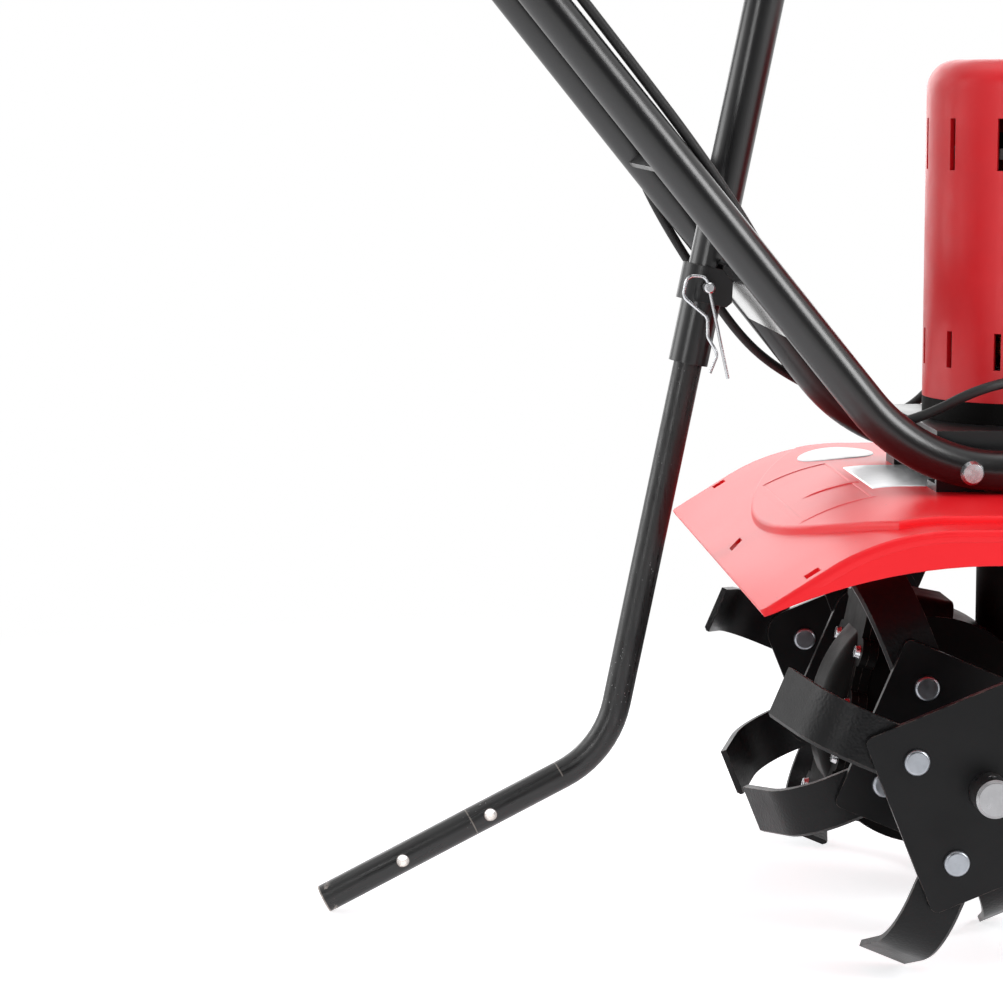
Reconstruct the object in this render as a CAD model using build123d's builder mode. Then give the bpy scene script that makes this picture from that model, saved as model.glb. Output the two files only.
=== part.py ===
# Electric mini tiller with depth stake, built as separate pieces in one frame
# Millimetres, +X forward, +Y to the machine's left, +Z up, ground at Z 0, X and Y 0 under the middle
import math
import os

from build123d import *

os.makedirs("parts", exist_ok=True)

# Axle of the tines
axle_x = 279.53
shaft_r = 10.0
shaft_half = 212.0
fit = 0.05
free = 0.5

# Depth stake and guide tube, X counted from the axle
stake_r = 8.0
stake_end = (-336.4, 7.12)
stake_bend = (-177.1, 90.2)
stake_bend_r = 59.0
guide_foot_z = 309.0
guide_top_z = 560.0
stake_top_z = 480.0
guide_lean = 0.20403
guide_r = 11.0
guide_bore_r = 8.5
leg_hole_r = 3.35
leg_hole_steps = (49.9, 105.5)
pin_r = 3.0
pin_z = 352.0
pin_hole_r = 3.2
strap_t = 3.0
strap_foot_z = 343.0
strap_h = 20.0
strap_reach = 15.5
wire_r = 0.9
clip_bend_r = 4.8

# Handle tubes
tube_r = 11.0
tube_bore_r = 9.5
tube_y = 88.0
tube_slope = math.radians(51.1)
tube_corner_x = -18.6
tube_run_z = 257.7
tube_bend_r = 95.0
tube_front_x = 100.0
tube_top_z = 545.0
joint_drop = 25.0
bolt_r = 3.0
bolt_hole_r = 3.2
plate_t = 3.0
plate_low = 99.0
plate_high = 146.0
plate_drop = 10.0
brace_at = 209.5
lead_r = 2.75

# Tines
hub_side = 98.0
hub_corner_r = 4.0
hub_corner_left_r = 13.8
hub_t = 4.0
hub_tube_r = 16.0
blade_t = 3.5
blade_w = 28.0
blade_root = 26.0
blade_bend_at = 64.2
blade_bend_r = 34.0
blade_bend = math.radians(70)
blade_straight = 31.0
tine_bolt_at = 40.0
tine_bolt_r = 3.0
tine_head_r = 6.75
outer_y = 190.0
inner_y = 100.0
outer_phase = 157.0
inner_phase = 202.0

# The lowest blade corner touches the ground, which sets the axle's height
tip_r = blade_bend_at + (blade_bend_r + blade_t / 2) * math.sin(blade_bend) + blade_straight * math.cos(blade_bend)
low_turn = math.radians(inner_phase - 180)
axle_z = tip_r * math.cos(low_turn) + blade_w / 2 * math.sin(low_turn)

# Gear case
case_r = 64.0
case_half = 30.0
case_wall = 4.0
cover_lean = math.radians(11.6)
cover_at = 44.0
cover_dome_r = 78.0
cover_dome_c = (17.5, -1.2)
flange_t = 4.0
cover_screw_t = (66.0, 36.0, 6.0, -24.0, -54.0)
cover_screw_y = 33.0
cover_screw_r = 2.0
boss_r = 24.0
boss_end = 42.0
bearing_r = 17.0
worm_x = 60.0
neck_r = 28.0
neck_bore_r = 20.0
neck_foot_z = 46.0
neck_top_z = 274.0
neck_flange_t = 8.0
neck_flange_r = 54.0

# Worm drive, twenty-four teeth on one start
teeth = 24
module = 4.0
worm_turns = 3
worm_pitch_r = worm_x - module * teeth / 2
worm_lead = math.pi * module

# Shield
shield_half = 203.0
shield_t = 3.0
shield_top = 241.0
shield_arc_r = 122.0
shield_slope = math.radians(32)
shield_back_x = -19.5
shield_front_x = 20.5
shield_straight = 40.5
deck_rise = 4.0
deck_r = 355.0
deck_back_x = -93.0
deck_half = 178.0
deck_edge_r = 2.4
shield_corner_r = 7.0
slot_w = 7.2
slot_l = 10.0
side_slot = (-90.8, 190.0)
mid_slot = (-106.3, -11.6)
mid_slot_skew = 11.3

# Handle bracket
bracket_t = 4.0
bracket_back_x = -7.0
bracket_front_x = 122.0
bracket_half = tube_y - tube_r

# Motor
motor_r = 60.0
motor_wall = 3.0
motor_top_z = 476.0
bell_t = 12.0
armature_r = 6.0
stator_low = 330.0
stator_high = 400.0
rotor_r = 30.2
commutator_r = 14.0
bearing_out_r = 13.0
bearing_h = 10.0

# Upper handle and grips, X counted from the axle
upper_bend_1 = 60.0
upper_point = (-455.0, -215.0, 775.0)
grip_dir = (-0.924, -0.1825, 0.3355)
box_clear = 25.0
grip_len = 110.0
grip_r = 16.0
upper_bend_r = 60.0
box_low = -100.0
box_high = -6.0
lever_pin = (-24.0, 28.0)
lever_half = 8.0

# Shared planes, local x counted forward from the axle and local y up
mid = Plane(origin=(axle_x, 0, 0), x_dir=(1, 0, 0), z_dir=(0, -1, 0))
right = Plane(origin=(axle_x, -tube_y, 0), x_dir=(1, 0, 0), z_dir=(0, -1, 0))
up_x = -math.cos(tube_slope)
up_z = math.sin(tube_slope)


def tube_point(along, above, y):
    # Point beside the handle line: along it from its corner, above it, and across the machine
    px = axle_x + tube_corner_x + up_x * along + up_z * above
    pz = tube_run_z + up_z * along - up_x * above
    return Vector(px, y, pz)


def guide_point(z):
    # Point on the guide tube's centre line
    px = axle_x + stake_bend[0] + (z - stake_bend[1]) * guide_lean
    return Vector(px, 0, z)


guide_dir = Vector(guide_lean, 0, 1).normalized()
tube_len = (tube_top_z - tube_run_z) / up_z
joint_bolt_z = tube_top_z - joint_drop
joint_along = (joint_bolt_z - tube_run_z) / up_z

# Depth stake
leg_angle = math.atan2(stake_bend[1] - stake_end[1], stake_bend[0] - stake_end[0])
with BuildPart() as depth_stake:
    with BuildLine() as stake_line:
        FilletPolyline(
            (axle_x + stake_end[0], 0, stake_end[1]),
            (axle_x + stake_bend[0], 0, stake_bend[1]),
            guide_point(stake_top_z),
            radius=stake_bend_r,
        )
    with BuildSketch(Plane(origin=stake_line.line @ 0, z_dir=stake_line.line % 0)):
        Circle(stake_r)
    sweep()
    with BuildSketch(mid):
        for step in leg_hole_steps:
            with Locations((stake_end[0] + step * math.cos(leg_angle), stake_end[1] + step * math.sin(leg_angle))):
                Circle(leg_hole_r)
        with Locations((guide_point(pin_z).X - axle_x, pin_z)):
            Circle(pin_hole_r)
    extrude(amount=stake_r + 1, both=True, mode=Mode.SUBTRACT)
depth_stake.part.label = "depth_stake"
export_step(depth_stake.part, "parts/depth_stake.step")

# Guide tube, held by the strap
guide_len = (guide_top_z - guide_foot_z) / guide_dir.Z
with BuildPart() as guide_tube:
    with BuildSketch(Plane(origin=guide_point(guide_foot_z), x_dir=(0, 1, 0), z_dir=guide_dir)):
        Circle(guide_r)
        Circle(guide_bore_r, mode=Mode.SUBTRACT)
    extrude(amount=guide_len)
    with BuildSketch(mid):
        with Locations((guide_point(pin_z).X - axle_x, pin_z)):
            Circle(pin_hole_r)
    extrude(amount=guide_r + 1, both=True, mode=Mode.SUBTRACT)
guide_tube.part.label = "guide_tube"
export_step(guide_tube.part, "parts/guide_tube.step")

# Cap on the guide tube
with BuildPart() as guide_cap:
    with BuildSketch(Plane(origin=guide_point(guide_top_z), x_dir=(0, 1, 0), z_dir=guide_dir)):
        Circle(guide_r + 1)
    extrude(amount=4)
    fillet(guide_cap.edges().filter_by(GeomType.CIRCLE).sort_by(Axis.Z)[-1], radius=2)
    with BuildSketch(Plane(origin=guide_point(guide_top_z), x_dir=(0, 1, 0), z_dir=guide_dir)):
        Circle(guide_bore_r - fit)
    extrude(amount=-16)
guide_cap.part.label = "guide_cap"
export_step(guide_cap.part, "parts/guide_cap.step")

# Cross bracket plate, welded between the handle tubes under their centre plane
plate_plane = Plane(origin=tube_point(0, -plate_drop, 0), x_dir=(0, 1, 0), z_dir=(up_z, 0, -up_x))
plate_sign = 1 if plate_plane.y_dir.Z > 0 else -1
with BuildPart() as cross_bracket:
    with BuildSketch(plate_plane):
        with Locations((0, plate_sign * (plate_low + plate_high) / 2)):
            Rectangle(2 * tube_y, plate_high - plate_low)
    extrude(amount=plate_t)
    with BuildSketch(Plane(origin=tube_point(0, 0, 0), x_dir=(0, 1, 0), z_dir=(up_x, 0, up_z))):
        with Locations((-tube_y, 0), (tube_y, 0)):
            Circle(tube_r)
    extrude(amount=tube_len, mode=Mode.SUBTRACT)
    with BuildSketch(Plane(origin=guide_point(guide_foot_z), x_dir=(0, 1, 0), z_dir=guide_dir)):
        Circle(guide_r + free)
    extrude(amount=guide_len, mode=Mode.SUBTRACT)
cross_bracket.part.label = "cross_bracket"
export_step(cross_bracket.part, "parts/cross_bracket.step")

# Small brace bar between the tubes
brace_w = 16.0
with BuildPart() as upper_brace:
    with BuildSketch(Plane(origin=tube_point(brace_at, 0, 0), x_dir=(0, 1, 0), z_dir=(up_x, 0, up_z))):
        Rectangle(2 * tube_y, brace_w)
    extrude(amount=plate_t)
    with BuildSketch(Plane(origin=tube_point(0, 0, 0), x_dir=(0, 1, 0), z_dir=(up_x, 0, up_z))):
        with Locations((-tube_y, 0), (tube_y, 0)):
            Circle(tube_r)
    extrude(amount=tube_len, mode=Mode.SUBTRACT)
    with BuildSketch(Plane(origin=guide_point(guide_foot_z), x_dir=(0, 1, 0), z_dir=guide_dir)):
        Circle(guide_r + free)
    extrude(amount=guide_len, mode=Mode.SUBTRACT)
upper_brace.part.label = "upper_brace"
export_step(upper_brace.part, "parts/upper_brace.step")

# Strap bent round the guide tube, arms welded to the cross bracket
strap_in = guide_r + 0.15
strap_out = strap_in + strap_t
with BuildPart() as stake_strap:
    with BuildSketch(Plane(origin=guide_point(strap_foot_z), x_dir=(1, 0, -guide_lean), z_dir=guide_dir)):
        Circle(strap_out)
        with Locations((25, 0)):
            Rectangle(50, 2 * strap_out)
        Circle(strap_in, mode=Mode.SUBTRACT)
        with Locations((25, 0)):
            Rectangle(50, 2 * strap_in, mode=Mode.SUBTRACT)
    extrude(amount=strap_h)
    with BuildSketch(plate_plane):
        with Locations((0, plate_sign * 130)):
            Rectangle(80, 120)
    extrude(amount=60, mode=Mode.SUBTRACT)
    with BuildSketch(mid):
        with BuildLine():
            Polyline(
                (guide_point(strap_foot_z).X - axle_x + strap_reach + 2, strap_foot_z + 2 * strap_h),
                (guide_point(strap_foot_z).X - axle_x + strap_reach, strap_foot_z),
                (guide_point(strap_foot_z).X - axle_x + strap_reach - 5, strap_foot_z - 4),
                (guide_point(strap_foot_z).X - axle_x + strap_reach - 5, strap_foot_z - strap_h),
                (guide_point(strap_foot_z).X - axle_x + 60, strap_foot_z - strap_h),
                (guide_point(strap_foot_z).X - axle_x + 60, strap_foot_z + 2 * strap_h),
                close=True,
            )
        make_face()
        with Locations((guide_point(pin_z).X - axle_x, pin_z)):
            Circle(pin_hole_r)
    extrude(amount=30, both=True, mode=Mode.SUBTRACT)
stake_strap.part.label = "stake_strap"
export_step(stake_strap.part, "parts/stake_strap.step")

# Hitch pin through strap, guide tube and stake, its head on the far side
pin_clip_y = -22.0
clip_lean = math.atan2(12.1, 56.0)
pin_plane = Plane(origin=(guide_point(pin_z).X, 0, pin_z), x_dir=(1, 0, 0), z_dir=(0, -1, 0))
with BuildPart() as hitch_pin:
    with BuildSketch(pin_plane):
        Circle(pin_r)
    extrude(amount=27)
    with BuildSketch(pin_plane):
        Circle(pin_r)
    extrude(amount=-strap_out)
    with BuildSketch(pin_plane.offset(-strap_out)):
        Circle(2 * pin_r)
    extrude(amount=-4)
    chamfer(hitch_pin.edges().group_by(Axis.Y)[0], length=0.8)
    with BuildSketch(
        Plane(
            origin=(guide_point(pin_z).X, pin_clip_y, pin_z),
            x_dir=(0, 1, 0),
            z_dir=(-math.sin(clip_lean), 0, math.cos(clip_lean)),
        )
    ):
        Circle(wire_r + 0.25)
    extrude(amount=2 * pin_r, both=True, mode=Mode.SUBTRACT)
hitch_pin.part.label = "hitch_pin"
export_step(hitch_pin.part, "parts/hitch_pin.step")

# R-clip of spring wire, its straight leg through the hitch pin, X and Z counted from the pin
with BuildPart() as r_clip:
    with BuildLine(Plane(origin=(guide_point(pin_z).X, pin_clip_y, pin_z), x_dir=(1, 0, 0), z_dir=(0, -1, 0))) as clip_line:
        FilletPolyline(
            (10.8, -50.0),
            (-1.3, 6.0),
            (-12.2, 6.6),
            (-14.2, -5.0),
            (-0.6, -16.5),
            (-0.6, -27.0),
            (5.0, -36.5),
            (0.8, -47.0),
            radius=clip_bend_r,
        )
    with BuildSketch(Plane(origin=clip_line.line @ 0, z_dir=clip_line.line % 0)):
        Circle(wire_r)
    sweep()
r_clip.part.label = "r_clip"
export_step(r_clip.part, "parts/r_clip.step")

# Lower handle tube, right and left
bracket_bolt_x = (8.0, 84.0)
with BuildPart() as lower_handle_right:
    with BuildLine() as low_line:
        FilletPolyline(
            (axle_x + tube_front_x, -tube_y, tube_run_z),
            (axle_x + tube_corner_x, -tube_y, tube_run_z),
            tube_point(tube_len, 0, -tube_y),
            radius=tube_bend_r,
        )
    with BuildSketch(Plane(origin=low_line.line @ 0, z_dir=low_line.line % 0)):
        Circle(tube_r)
        Circle(tube_bore_r, mode=Mode.SUBTRACT)
    sweep()
    with BuildSketch(right):
        with Locations((bracket_bolt_x[0], tube_run_z), (bracket_bolt_x[1], tube_run_z)):
            Circle(bolt_hole_r)
        with Locations((tube_point(joint_along, 0, 0).X - axle_x, joint_bolt_z)):
            Circle(bolt_hole_r)
    extrude(amount=tube_r + 1, both=True, mode=Mode.SUBTRACT)
lower_handle_right.part.label = "lower_handle_right"
export_step(lower_handle_right.part, "parts/lower_handle_right.step")

with BuildPart() as lower_handle_left:
    add(lower_handle_right.part)
    mirror(about=Plane.XZ, mode=Mode.REPLACE)
lower_handle_left.part.label = "lower_handle_left"
export_step(lower_handle_left.part, "parts/lower_handle_left.step")

# Upper handle tube with a spigot in the lower one
spigot_len = 60.0
joint_top = tube_point(tube_len, 0, -tube_y)
joint_dir = Vector(up_x, 0, up_z)
upper_corner_1 = joint_top + joint_dir * upper_bend_1
upper_corner_2 = Vector(axle_x + upper_point[0], upper_point[1], upper_point[2])
grip_axis = Vector(*grip_dir).normalized()
grip_line = grip_len - box_low + box_clear
grip_end = upper_corner_2 + grip_axis * grip_line
with BuildPart() as upper_handle_right:
    with BuildLine() as up_line:
        FilletPolyline(joint_top, upper_corner_1, upper_corner_2, grip_end, radius=upper_bend_r)
    with BuildSketch(Plane(origin=up_line.line @ 0, z_dir=up_line.line % 0)):
        Circle(tube_r)
        Circle(tube_bore_r - 0.5, mode=Mode.SUBTRACT)
    sweep()
    with BuildSketch(Plane(origin=joint_top + joint_dir * 6, x_dir=(0, 1, 0), z_dir=joint_dir)):
        Circle(tube_bore_r - fit)
        Circle(tube_bore_r - 1.5, mode=Mode.SUBTRACT)
    extrude(amount=-spigot_len - 6)
    with BuildSketch(right):
        with Locations((tube_point(joint_along, 0, 0).X - axle_x, joint_bolt_z)):
            Circle(bolt_hole_r)
    extrude(amount=tube_r + 1, both=True, mode=Mode.SUBTRACT)
upper_handle_right.part.label = "upper_handle_right"
export_step(upper_handle_right.part, "parts/upper_handle_right.step")

with BuildPart() as upper_handle_left:
    add(upper_handle_right.part)
    mirror(about=Plane.XZ, mode=Mode.REPLACE)
upper_handle_left.part.label = "upper_handle_left"
export_step(upper_handle_left.part, "parts/upper_handle_left.step")

# Cross bar between the upper tubes, its ends cut to the tubes
bar_at = upper_bend_1 / 2
bar_r = 8.0
bar_pos = joint_top + joint_dir * bar_at
with BuildPart() as handle_crossbar:
    with BuildSketch(Plane(origin=(bar_pos.X, 0, bar_pos.Z), x_dir=(1, 0, 0), z_dir=(0, -1, 0))):
        Circle(bar_r)
        Circle(bar_r - 1.5, mode=Mode.SUBTRACT)
    extrude(amount=tube_y, both=True)
    with BuildSketch(Plane(origin=tube_point(0, 0, 0), x_dir=(0, 1, 0), z_dir=joint_dir)):
        with Locations((-tube_y, 0), (tube_y, 0)):
            Circle(tube_r)
    extrude(amount=tube_len + upper_bend_1, mode=Mode.SUBTRACT)
handle_crossbar.part.label = "handle_crossbar"
export_step(handle_crossbar.part, "parts/handle_crossbar.step")

# Bolts through the handle joints and through the bracket, heads outside, with their nuts
bolt_head_r = 6.5
bolt_head_h = 3.6
nut_flat = 10.0
nut_h = 5.0
handle_bolt_at = (
    (bracket_bolt_x[0], tube_run_z),
    (bracket_bolt_x[1], tube_run_z),
    (tube_point(joint_along, 0, 0).X - axle_x, joint_bolt_z),
)
with BuildPart() as handle_bolts:
    with BuildSketch(Plane(origin=(axle_x, -tube_y - tube_r, 0), x_dir=(1, 0, 0), z_dir=(0, -1, 0))):
        with Locations(*handle_bolt_at):
            Circle(bolt_head_r)
    extrude(amount=bolt_head_h, taper=20)
    with BuildSketch(Plane(origin=(axle_x, -tube_y - tube_r, 0), x_dir=(1, 0, 0), z_dir=(0, -1, 0))):
        with Locations(*handle_bolt_at):
            Circle(bolt_r)
    extrude(amount=-2 * tube_r - bracket_t - nut_h - 2)
    mirror(about=Plane.XZ)
handle_bolts.part.label = "handle_bolts"
export_step(handle_bolts.part, "parts/handle_bolts.step")

with BuildPart() as handle_nuts:
    with BuildSketch(Plane(origin=(axle_x, -tube_y + tube_r, 0), x_dir=(1, 0, 0), z_dir=(0, 1, 0))):
        with Locations((handle_bolt_at[2][0], -joint_bolt_z)):
            RegularPolygon(nut_flat / 2, 6, major_radius=False)
            Circle(bolt_r + fit, mode=Mode.SUBTRACT)
    extrude(amount=nut_h)
    with BuildSketch(Plane(origin=(axle_x, -bracket_half + bracket_t, 0), x_dir=(1, 0, 0), z_dir=(0, 1, 0))):
        with Locations((bracket_bolt_x[0], -tube_run_z), (bracket_bolt_x[1], -tube_run_z)):
            RegularPolygon(nut_flat / 2, 6, major_radius=False)
            Circle(bolt_r + fit, mode=Mode.SUBTRACT)
    extrude(amount=nut_h)
    mirror(about=Plane.XZ)
handle_nuts.part.label = "handle_nuts"
export_step(handle_nuts.part, "parts/handle_nuts.step")

# Handle bracket, a channel bent downward between the tubes, feet on the shield deck
deck_z = shield_top + deck_rise
bracket_top = neck_top_z + bracket_t
foot_w = 26.0
foot_in = 22.0
bracket_mid = (bracket_back_x + bracket_front_x) / 2
bracket_len = bracket_front_x - bracket_back_x
screw_r = 2.5
neck_bolt_at = 46.0
shield_screw = (bracket_back_x + foot_w / 2, bracket_half - bracket_t - foot_in / 2)
with BuildPart() as handle_bracket:
    with BuildSketch(Plane(origin=(axle_x, 0, neck_top_z))):
        with Locations((bracket_mid, 0)):
            Rectangle(bracket_len, 2 * bracket_half)
        with Locations((worm_x, 0)):
            Circle(neck_bore_r, mode=Mode.SUBTRACT)
            with PolarLocations(neck_bolt_at, 4, start_angle=45):
                Circle(screw_r + 0.3, mode=Mode.SUBTRACT)
    extrude(amount=bracket_t)
    with BuildSketch(Plane(origin=(axle_x, 0, neck_top_z))):
        with Locations((bracket_mid, bracket_half - bracket_t / 2), (bracket_mid, bracket_t / 2 - bracket_half)):
            Rectangle(bracket_len, bracket_t)
    extrude(amount=deck_z + bracket_t - neck_top_z)
    with BuildSketch(Plane(origin=(axle_x, 0, deck_z))):
        with Locations(
            (bracket_back_x + foot_w / 2, bracket_half - foot_in / 2 - bracket_t / 2),
            (bracket_back_x + foot_w / 2, foot_in / 2 + bracket_t / 2 - bracket_half),
        ):
            Rectangle(foot_w, foot_in + bracket_t)
        with Locations((shield_screw[0], shield_screw[1]), (shield_screw[0], -shield_screw[1])):
            Circle(screw_r + 0.3, mode=Mode.SUBTRACT)
    extrude(amount=bracket_t)
    with BuildSketch(mid):
        with Locations((bracket_bolt_x[0], tube_run_z), (bracket_bolt_x[1], tube_run_z)):
            Circle(bolt_hole_r)
    extrude(amount=bracket_half + 1, both=True, mode=Mode.SUBTRACT)
handle_bracket.part.label = "handle_bracket"
export_step(handle_bracket.part, "parts/handle_bracket.step")

# Tine shield: one thin skin with side skirts and a raised deck
sin_s = math.sin(shield_slope)
cos_s = math.cos(shield_slope)


def skin_point(side, lift, out):
    # Point on the shield's profile lifted off it, at the arc's end and then down the slope
    reach = shield_arc_r + lift
    px = reach * sin_s + out * cos_s
    pz = shield_top - shield_arc_r + reach * cos_s - out * sin_s
    if side < 0:
        return (shield_back_x - px, pz)
    return (shield_front_x + px, pz)


back_edge = skin_point(-1, 0, shield_straight)
front_edge = skin_point(1, 0, shield_straight)
shield_mid_x = (back_edge[0] + front_edge[0]) / 2
skirt_mid = (shield_mid_x, shield_top - 18.0)
skirt_z = back_edge[1] - shield_t
with BuildPart() as shield_deck:
    with BuildSketch(mid):
        with BuildLine():
            Line(skin_point(-1, deck_rise, 25), skin_point(-1, deck_rise, 0))
            RadiusArc(skin_point(-1, deck_rise, 0), (shield_back_x, deck_z), shield_arc_r + deck_rise)
            Line((shield_back_x, deck_z), (shield_front_x, deck_z))
            RadiusArc((shield_front_x, deck_z), skin_point(1, deck_rise, 0), shield_arc_r + deck_rise)
            Line(skin_point(1, deck_rise, 0), skin_point(1, deck_rise, 25))
            Line(skin_point(1, deck_rise, 25), skin_point(1, -1, 25))
            Line(skin_point(1, -1, 25), skin_point(1, -1, 0))
            RadiusArc(skin_point(1, -1, 0), (shield_front_x, shield_top - 1), 1 - shield_arc_r)
            Line((shield_front_x, shield_top - 1), (shield_back_x, shield_top - 1))
            RadiusArc((shield_back_x, shield_top - 1), skin_point(-1, -1, 0), 1 - shield_arc_r)
            Line(skin_point(-1, -1, 0), skin_point(-1, -1, 25))
            Line(skin_point(-1, -1, 25), skin_point(-1, deck_rise, 25))
        make_face()
    extrude(amount=deck_half, both=True)
    with BuildSketch(Plane(origin=(axle_x, 0, 0))):
        with Locations((deck_back_x + deck_r, 0)):
            Circle(deck_r)
    extrude(amount=400, mode=Mode.INTERSECT)
    with BuildSketch(Plane(origin=(axle_x, 0, 0))):
        with Locations((2 * shield_mid_x - deck_back_x - deck_r, 0)):
            Circle(deck_r)
    extrude(amount=400, mode=Mode.INTERSECT)
    deck_top = shield_deck.faces().filter_by(lambda f: f.normal_at().Z > 0.2)
    deck_walls = shield_deck.faces().filter_by(lambda f: abs(f.normal_at().Z) < 0.2)
    deck_rim = [e for e in deck_top.edges() if any(e.is_same(w) for w in deck_walls.edges())]
    fillet(deck_rim, radius=deck_edge_r)

with BuildPart() as shield:
    with BuildSketch(mid):
        with BuildLine():
            Line(back_edge, skin_point(-1, 0, 0))
            RadiusArc(skin_point(-1, 0, 0), (shield_back_x, shield_top), shield_arc_r)
            Line((shield_back_x, shield_top), (shield_front_x, shield_top))
            RadiusArc((shield_front_x, shield_top), skin_point(1, 0, 0), shield_arc_r)
            Line(skin_point(1, 0, 0), front_edge)
            Line(front_edge, (front_edge[0] - 2, skirt_z))
            ThreePointArc((front_edge[0] - 2, skirt_z), skirt_mid, (back_edge[0] + 2, skirt_z))
            Line((back_edge[0] + 2, skirt_z), back_edge)
        make_face()
    extrude(amount=shield_half, both=True)
    skin_faces = shield.faces().filter_by(lambda f: f.normal_at().Z > 0.2)
    fillet(skin_faces.edges().filter_by(lambda e: abs(e.center().Y) > shield_half - 1), radius=2.4)
    with BuildSketch(Plane(origin=(axle_x, 0, 0))):
        with Locations((shield_mid_x, 0)):
            RectangleRounded(front_edge[0] - back_edge[0], 2 * shield_half, shield_corner_r)
    extrude(amount=shield_top + 1, mode=Mode.INTERSECT)
    add(shield_deck.part)
    with BuildSketch(mid):
        with BuildLine():
            Line(skin_point(-1, -shield_t, 80), skin_point(-1, -shield_t, 0))
            RadiusArc(
                skin_point(-1, -shield_t, 0), (shield_back_x, shield_top - shield_t), shield_arc_r - shield_t
            )
            Line((shield_back_x, shield_top - shield_t), (shield_front_x, shield_top - shield_t))
            RadiusArc(
                (shield_front_x, shield_top - shield_t), skin_point(1, -shield_t, 0), shield_arc_r - shield_t
            )
            Line(skin_point(1, -shield_t, 0), skin_point(1, -shield_t, 80))
            Line(skin_point(1, -shield_t, 80), skin_point(-1, -shield_t, 80))
        make_face()
    extrude(amount=shield_half - shield_t, both=True, mode=Mode.SUBTRACT)
    with BuildSketch(Plane(origin=(axle_x, 0, 0))):
        with Locations((worm_x, 0)):
            Circle(neck_r + 2)
        with Locations((side_slot[0], -side_slot[1]), side_slot):
            Rectangle(slot_w, slot_l)
        with Locations(mid_slot):
            Polygon(
                (-slot_w / 2, -(mid_slot_skew + slot_l) / 2),
                (slot_w / 2, (mid_slot_skew - slot_l) / 2),
                (slot_w / 2, (mid_slot_skew + slot_l) / 2),
                (-slot_w / 2, (slot_l - mid_slot_skew) / 2),
                align=None,
            )
        with Locations((shield_screw[0], shield_screw[1]), (shield_screw[0], -shield_screw[1])):
            Circle(screw_r + fit)
    extrude(amount=400, mode=Mode.SUBTRACT)
shield.part.label = "shield"
export_step(shield.part, "parts/shield.step")

# Thread-forming screws holding the shield to the bracket's feet
with BuildPart() as shield_screws:
    with BuildSketch(Plane(origin=(axle_x, 0, deck_z + bracket_t))):
        with Locations((shield_screw[0], shield_screw[1]), (shield_screw[0], -shield_screw[1])):
            Circle(2 * screw_r)
    extrude(amount=3, taper=15)
    with BuildSketch(Plane(origin=(axle_x, 0, deck_z + bracket_t))):
        with Locations((shield_screw[0], shield_screw[1]), (shield_screw[0], -shield_screw[1])):
            Circle(screw_r)
    extrude(amount=-bracket_t - deck_rise - shield_t - 6)
shield_screws.part.label = "shield_screws"
export_step(shield_screws.part, "parts/shield_screws.step")

# Gear case with its neck up to the motor, open at the back
axle = Plane(origin=(axle_x, 0, axle_z), x_dir=(1, 0, 0), z_dir=(0, -1, 0))
cover_plane = Plane(
    origin=(axle_x - cover_at * math.cos(cover_lean), 0, axle_z + cover_at * math.sin(cover_lean)),
    x_dir=(0, -1, 0),
    z_dir=(-math.cos(cover_lean), 0, math.sin(cover_lean)),
)
ear_r = 8.0
ears = [(side * cover_screw_y, t) for t in cover_screw_t for side in (-1, 1)]
flange_low = cover_screw_t[-1] - 6
flange_high = cover_screw_t[0] + 6
flange_mid = (flange_low + flange_high) / 2
worm_foot = Plane(origin=(axle_x + worm_x, 0, neck_foot_z))
neck_top = Plane(origin=(axle_x + worm_x, 0, neck_top_z))
foot_bearing_z = neck_foot_z + 6
with BuildPart() as gear_case:
    with BuildSketch(axle):
        Circle(case_r)
    extrude(amount=case_half, both=True)
    with BuildSketch(axle):
        Circle(boss_r)
    extrude(amount=boss_end, both=True)
    with BuildSketch(worm_foot):
        Circle(neck_r)
    extrude(amount=neck_top_z - neck_foot_z)
    with BuildSketch(neck_top):
        Circle(neck_flange_r)
    extrude(amount=-neck_flange_t)
    with BuildSketch(cover_plane):
        with Locations((0, flange_mid)):
            RectangleRounded(2 * case_half, flange_high - flange_low, 12)
    extrude(amount=-cover_at)
    with BuildSketch(cover_plane):
        with Locations((0, flange_mid)):
            RectangleRounded(2 * case_half + 3, flange_high - flange_low + 4, 12)
        with Locations(*ears):
            Circle(ear_r)
    extrude(amount=-flange_t - 1)
    with BuildSketch(cover_plane):
        Rectangle(500, 500)
    extrude(amount=120, mode=Mode.SUBTRACT)
    with BuildSketch(axle):
        Circle(case_r - case_wall)
    extrude(amount=case_half - case_wall, both=True, mode=Mode.SUBTRACT)
    with BuildSketch(cover_plane):
        with Locations((0, flange_mid)):
            RectangleRounded(2 * (case_half - case_wall), flange_high - flange_low - 2 * case_wall, 8)
    extrude(amount=-cover_at, mode=Mode.SUBTRACT)
    with BuildSketch(worm_foot.offset(bearing_h + 6)):
        Circle(neck_bore_r)
    extrude(amount=neck_top_z, mode=Mode.SUBTRACT)
    with BuildSketch(worm_foot.offset(6)):
        Circle(bearing_out_r + fit)
    extrude(amount=bearing_h + 1, mode=Mode.SUBTRACT)
    with BuildSketch(axle):
        Circle(bearing_r + fit)
    extrude(amount=boss_end + 1, both=True, mode=Mode.SUBTRACT)
    with BuildSketch(cover_plane):
        with Locations(*ears):
            Circle(cover_screw_r + 0.1)
    extrude(amount=-flange_t - 2, mode=Mode.SUBTRACT)
    with BuildSketch(neck_top):
        with PolarLocations(neck_bolt_at, 4, start_angle=45):
            Circle(screw_r + 0.3)
    extrude(amount=-neck_flange_t - 1, mode=Mode.SUBTRACT)
gear_case.part.label = "gear_case"
export_step(gear_case.part, "parts/gear_case.step")

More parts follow.
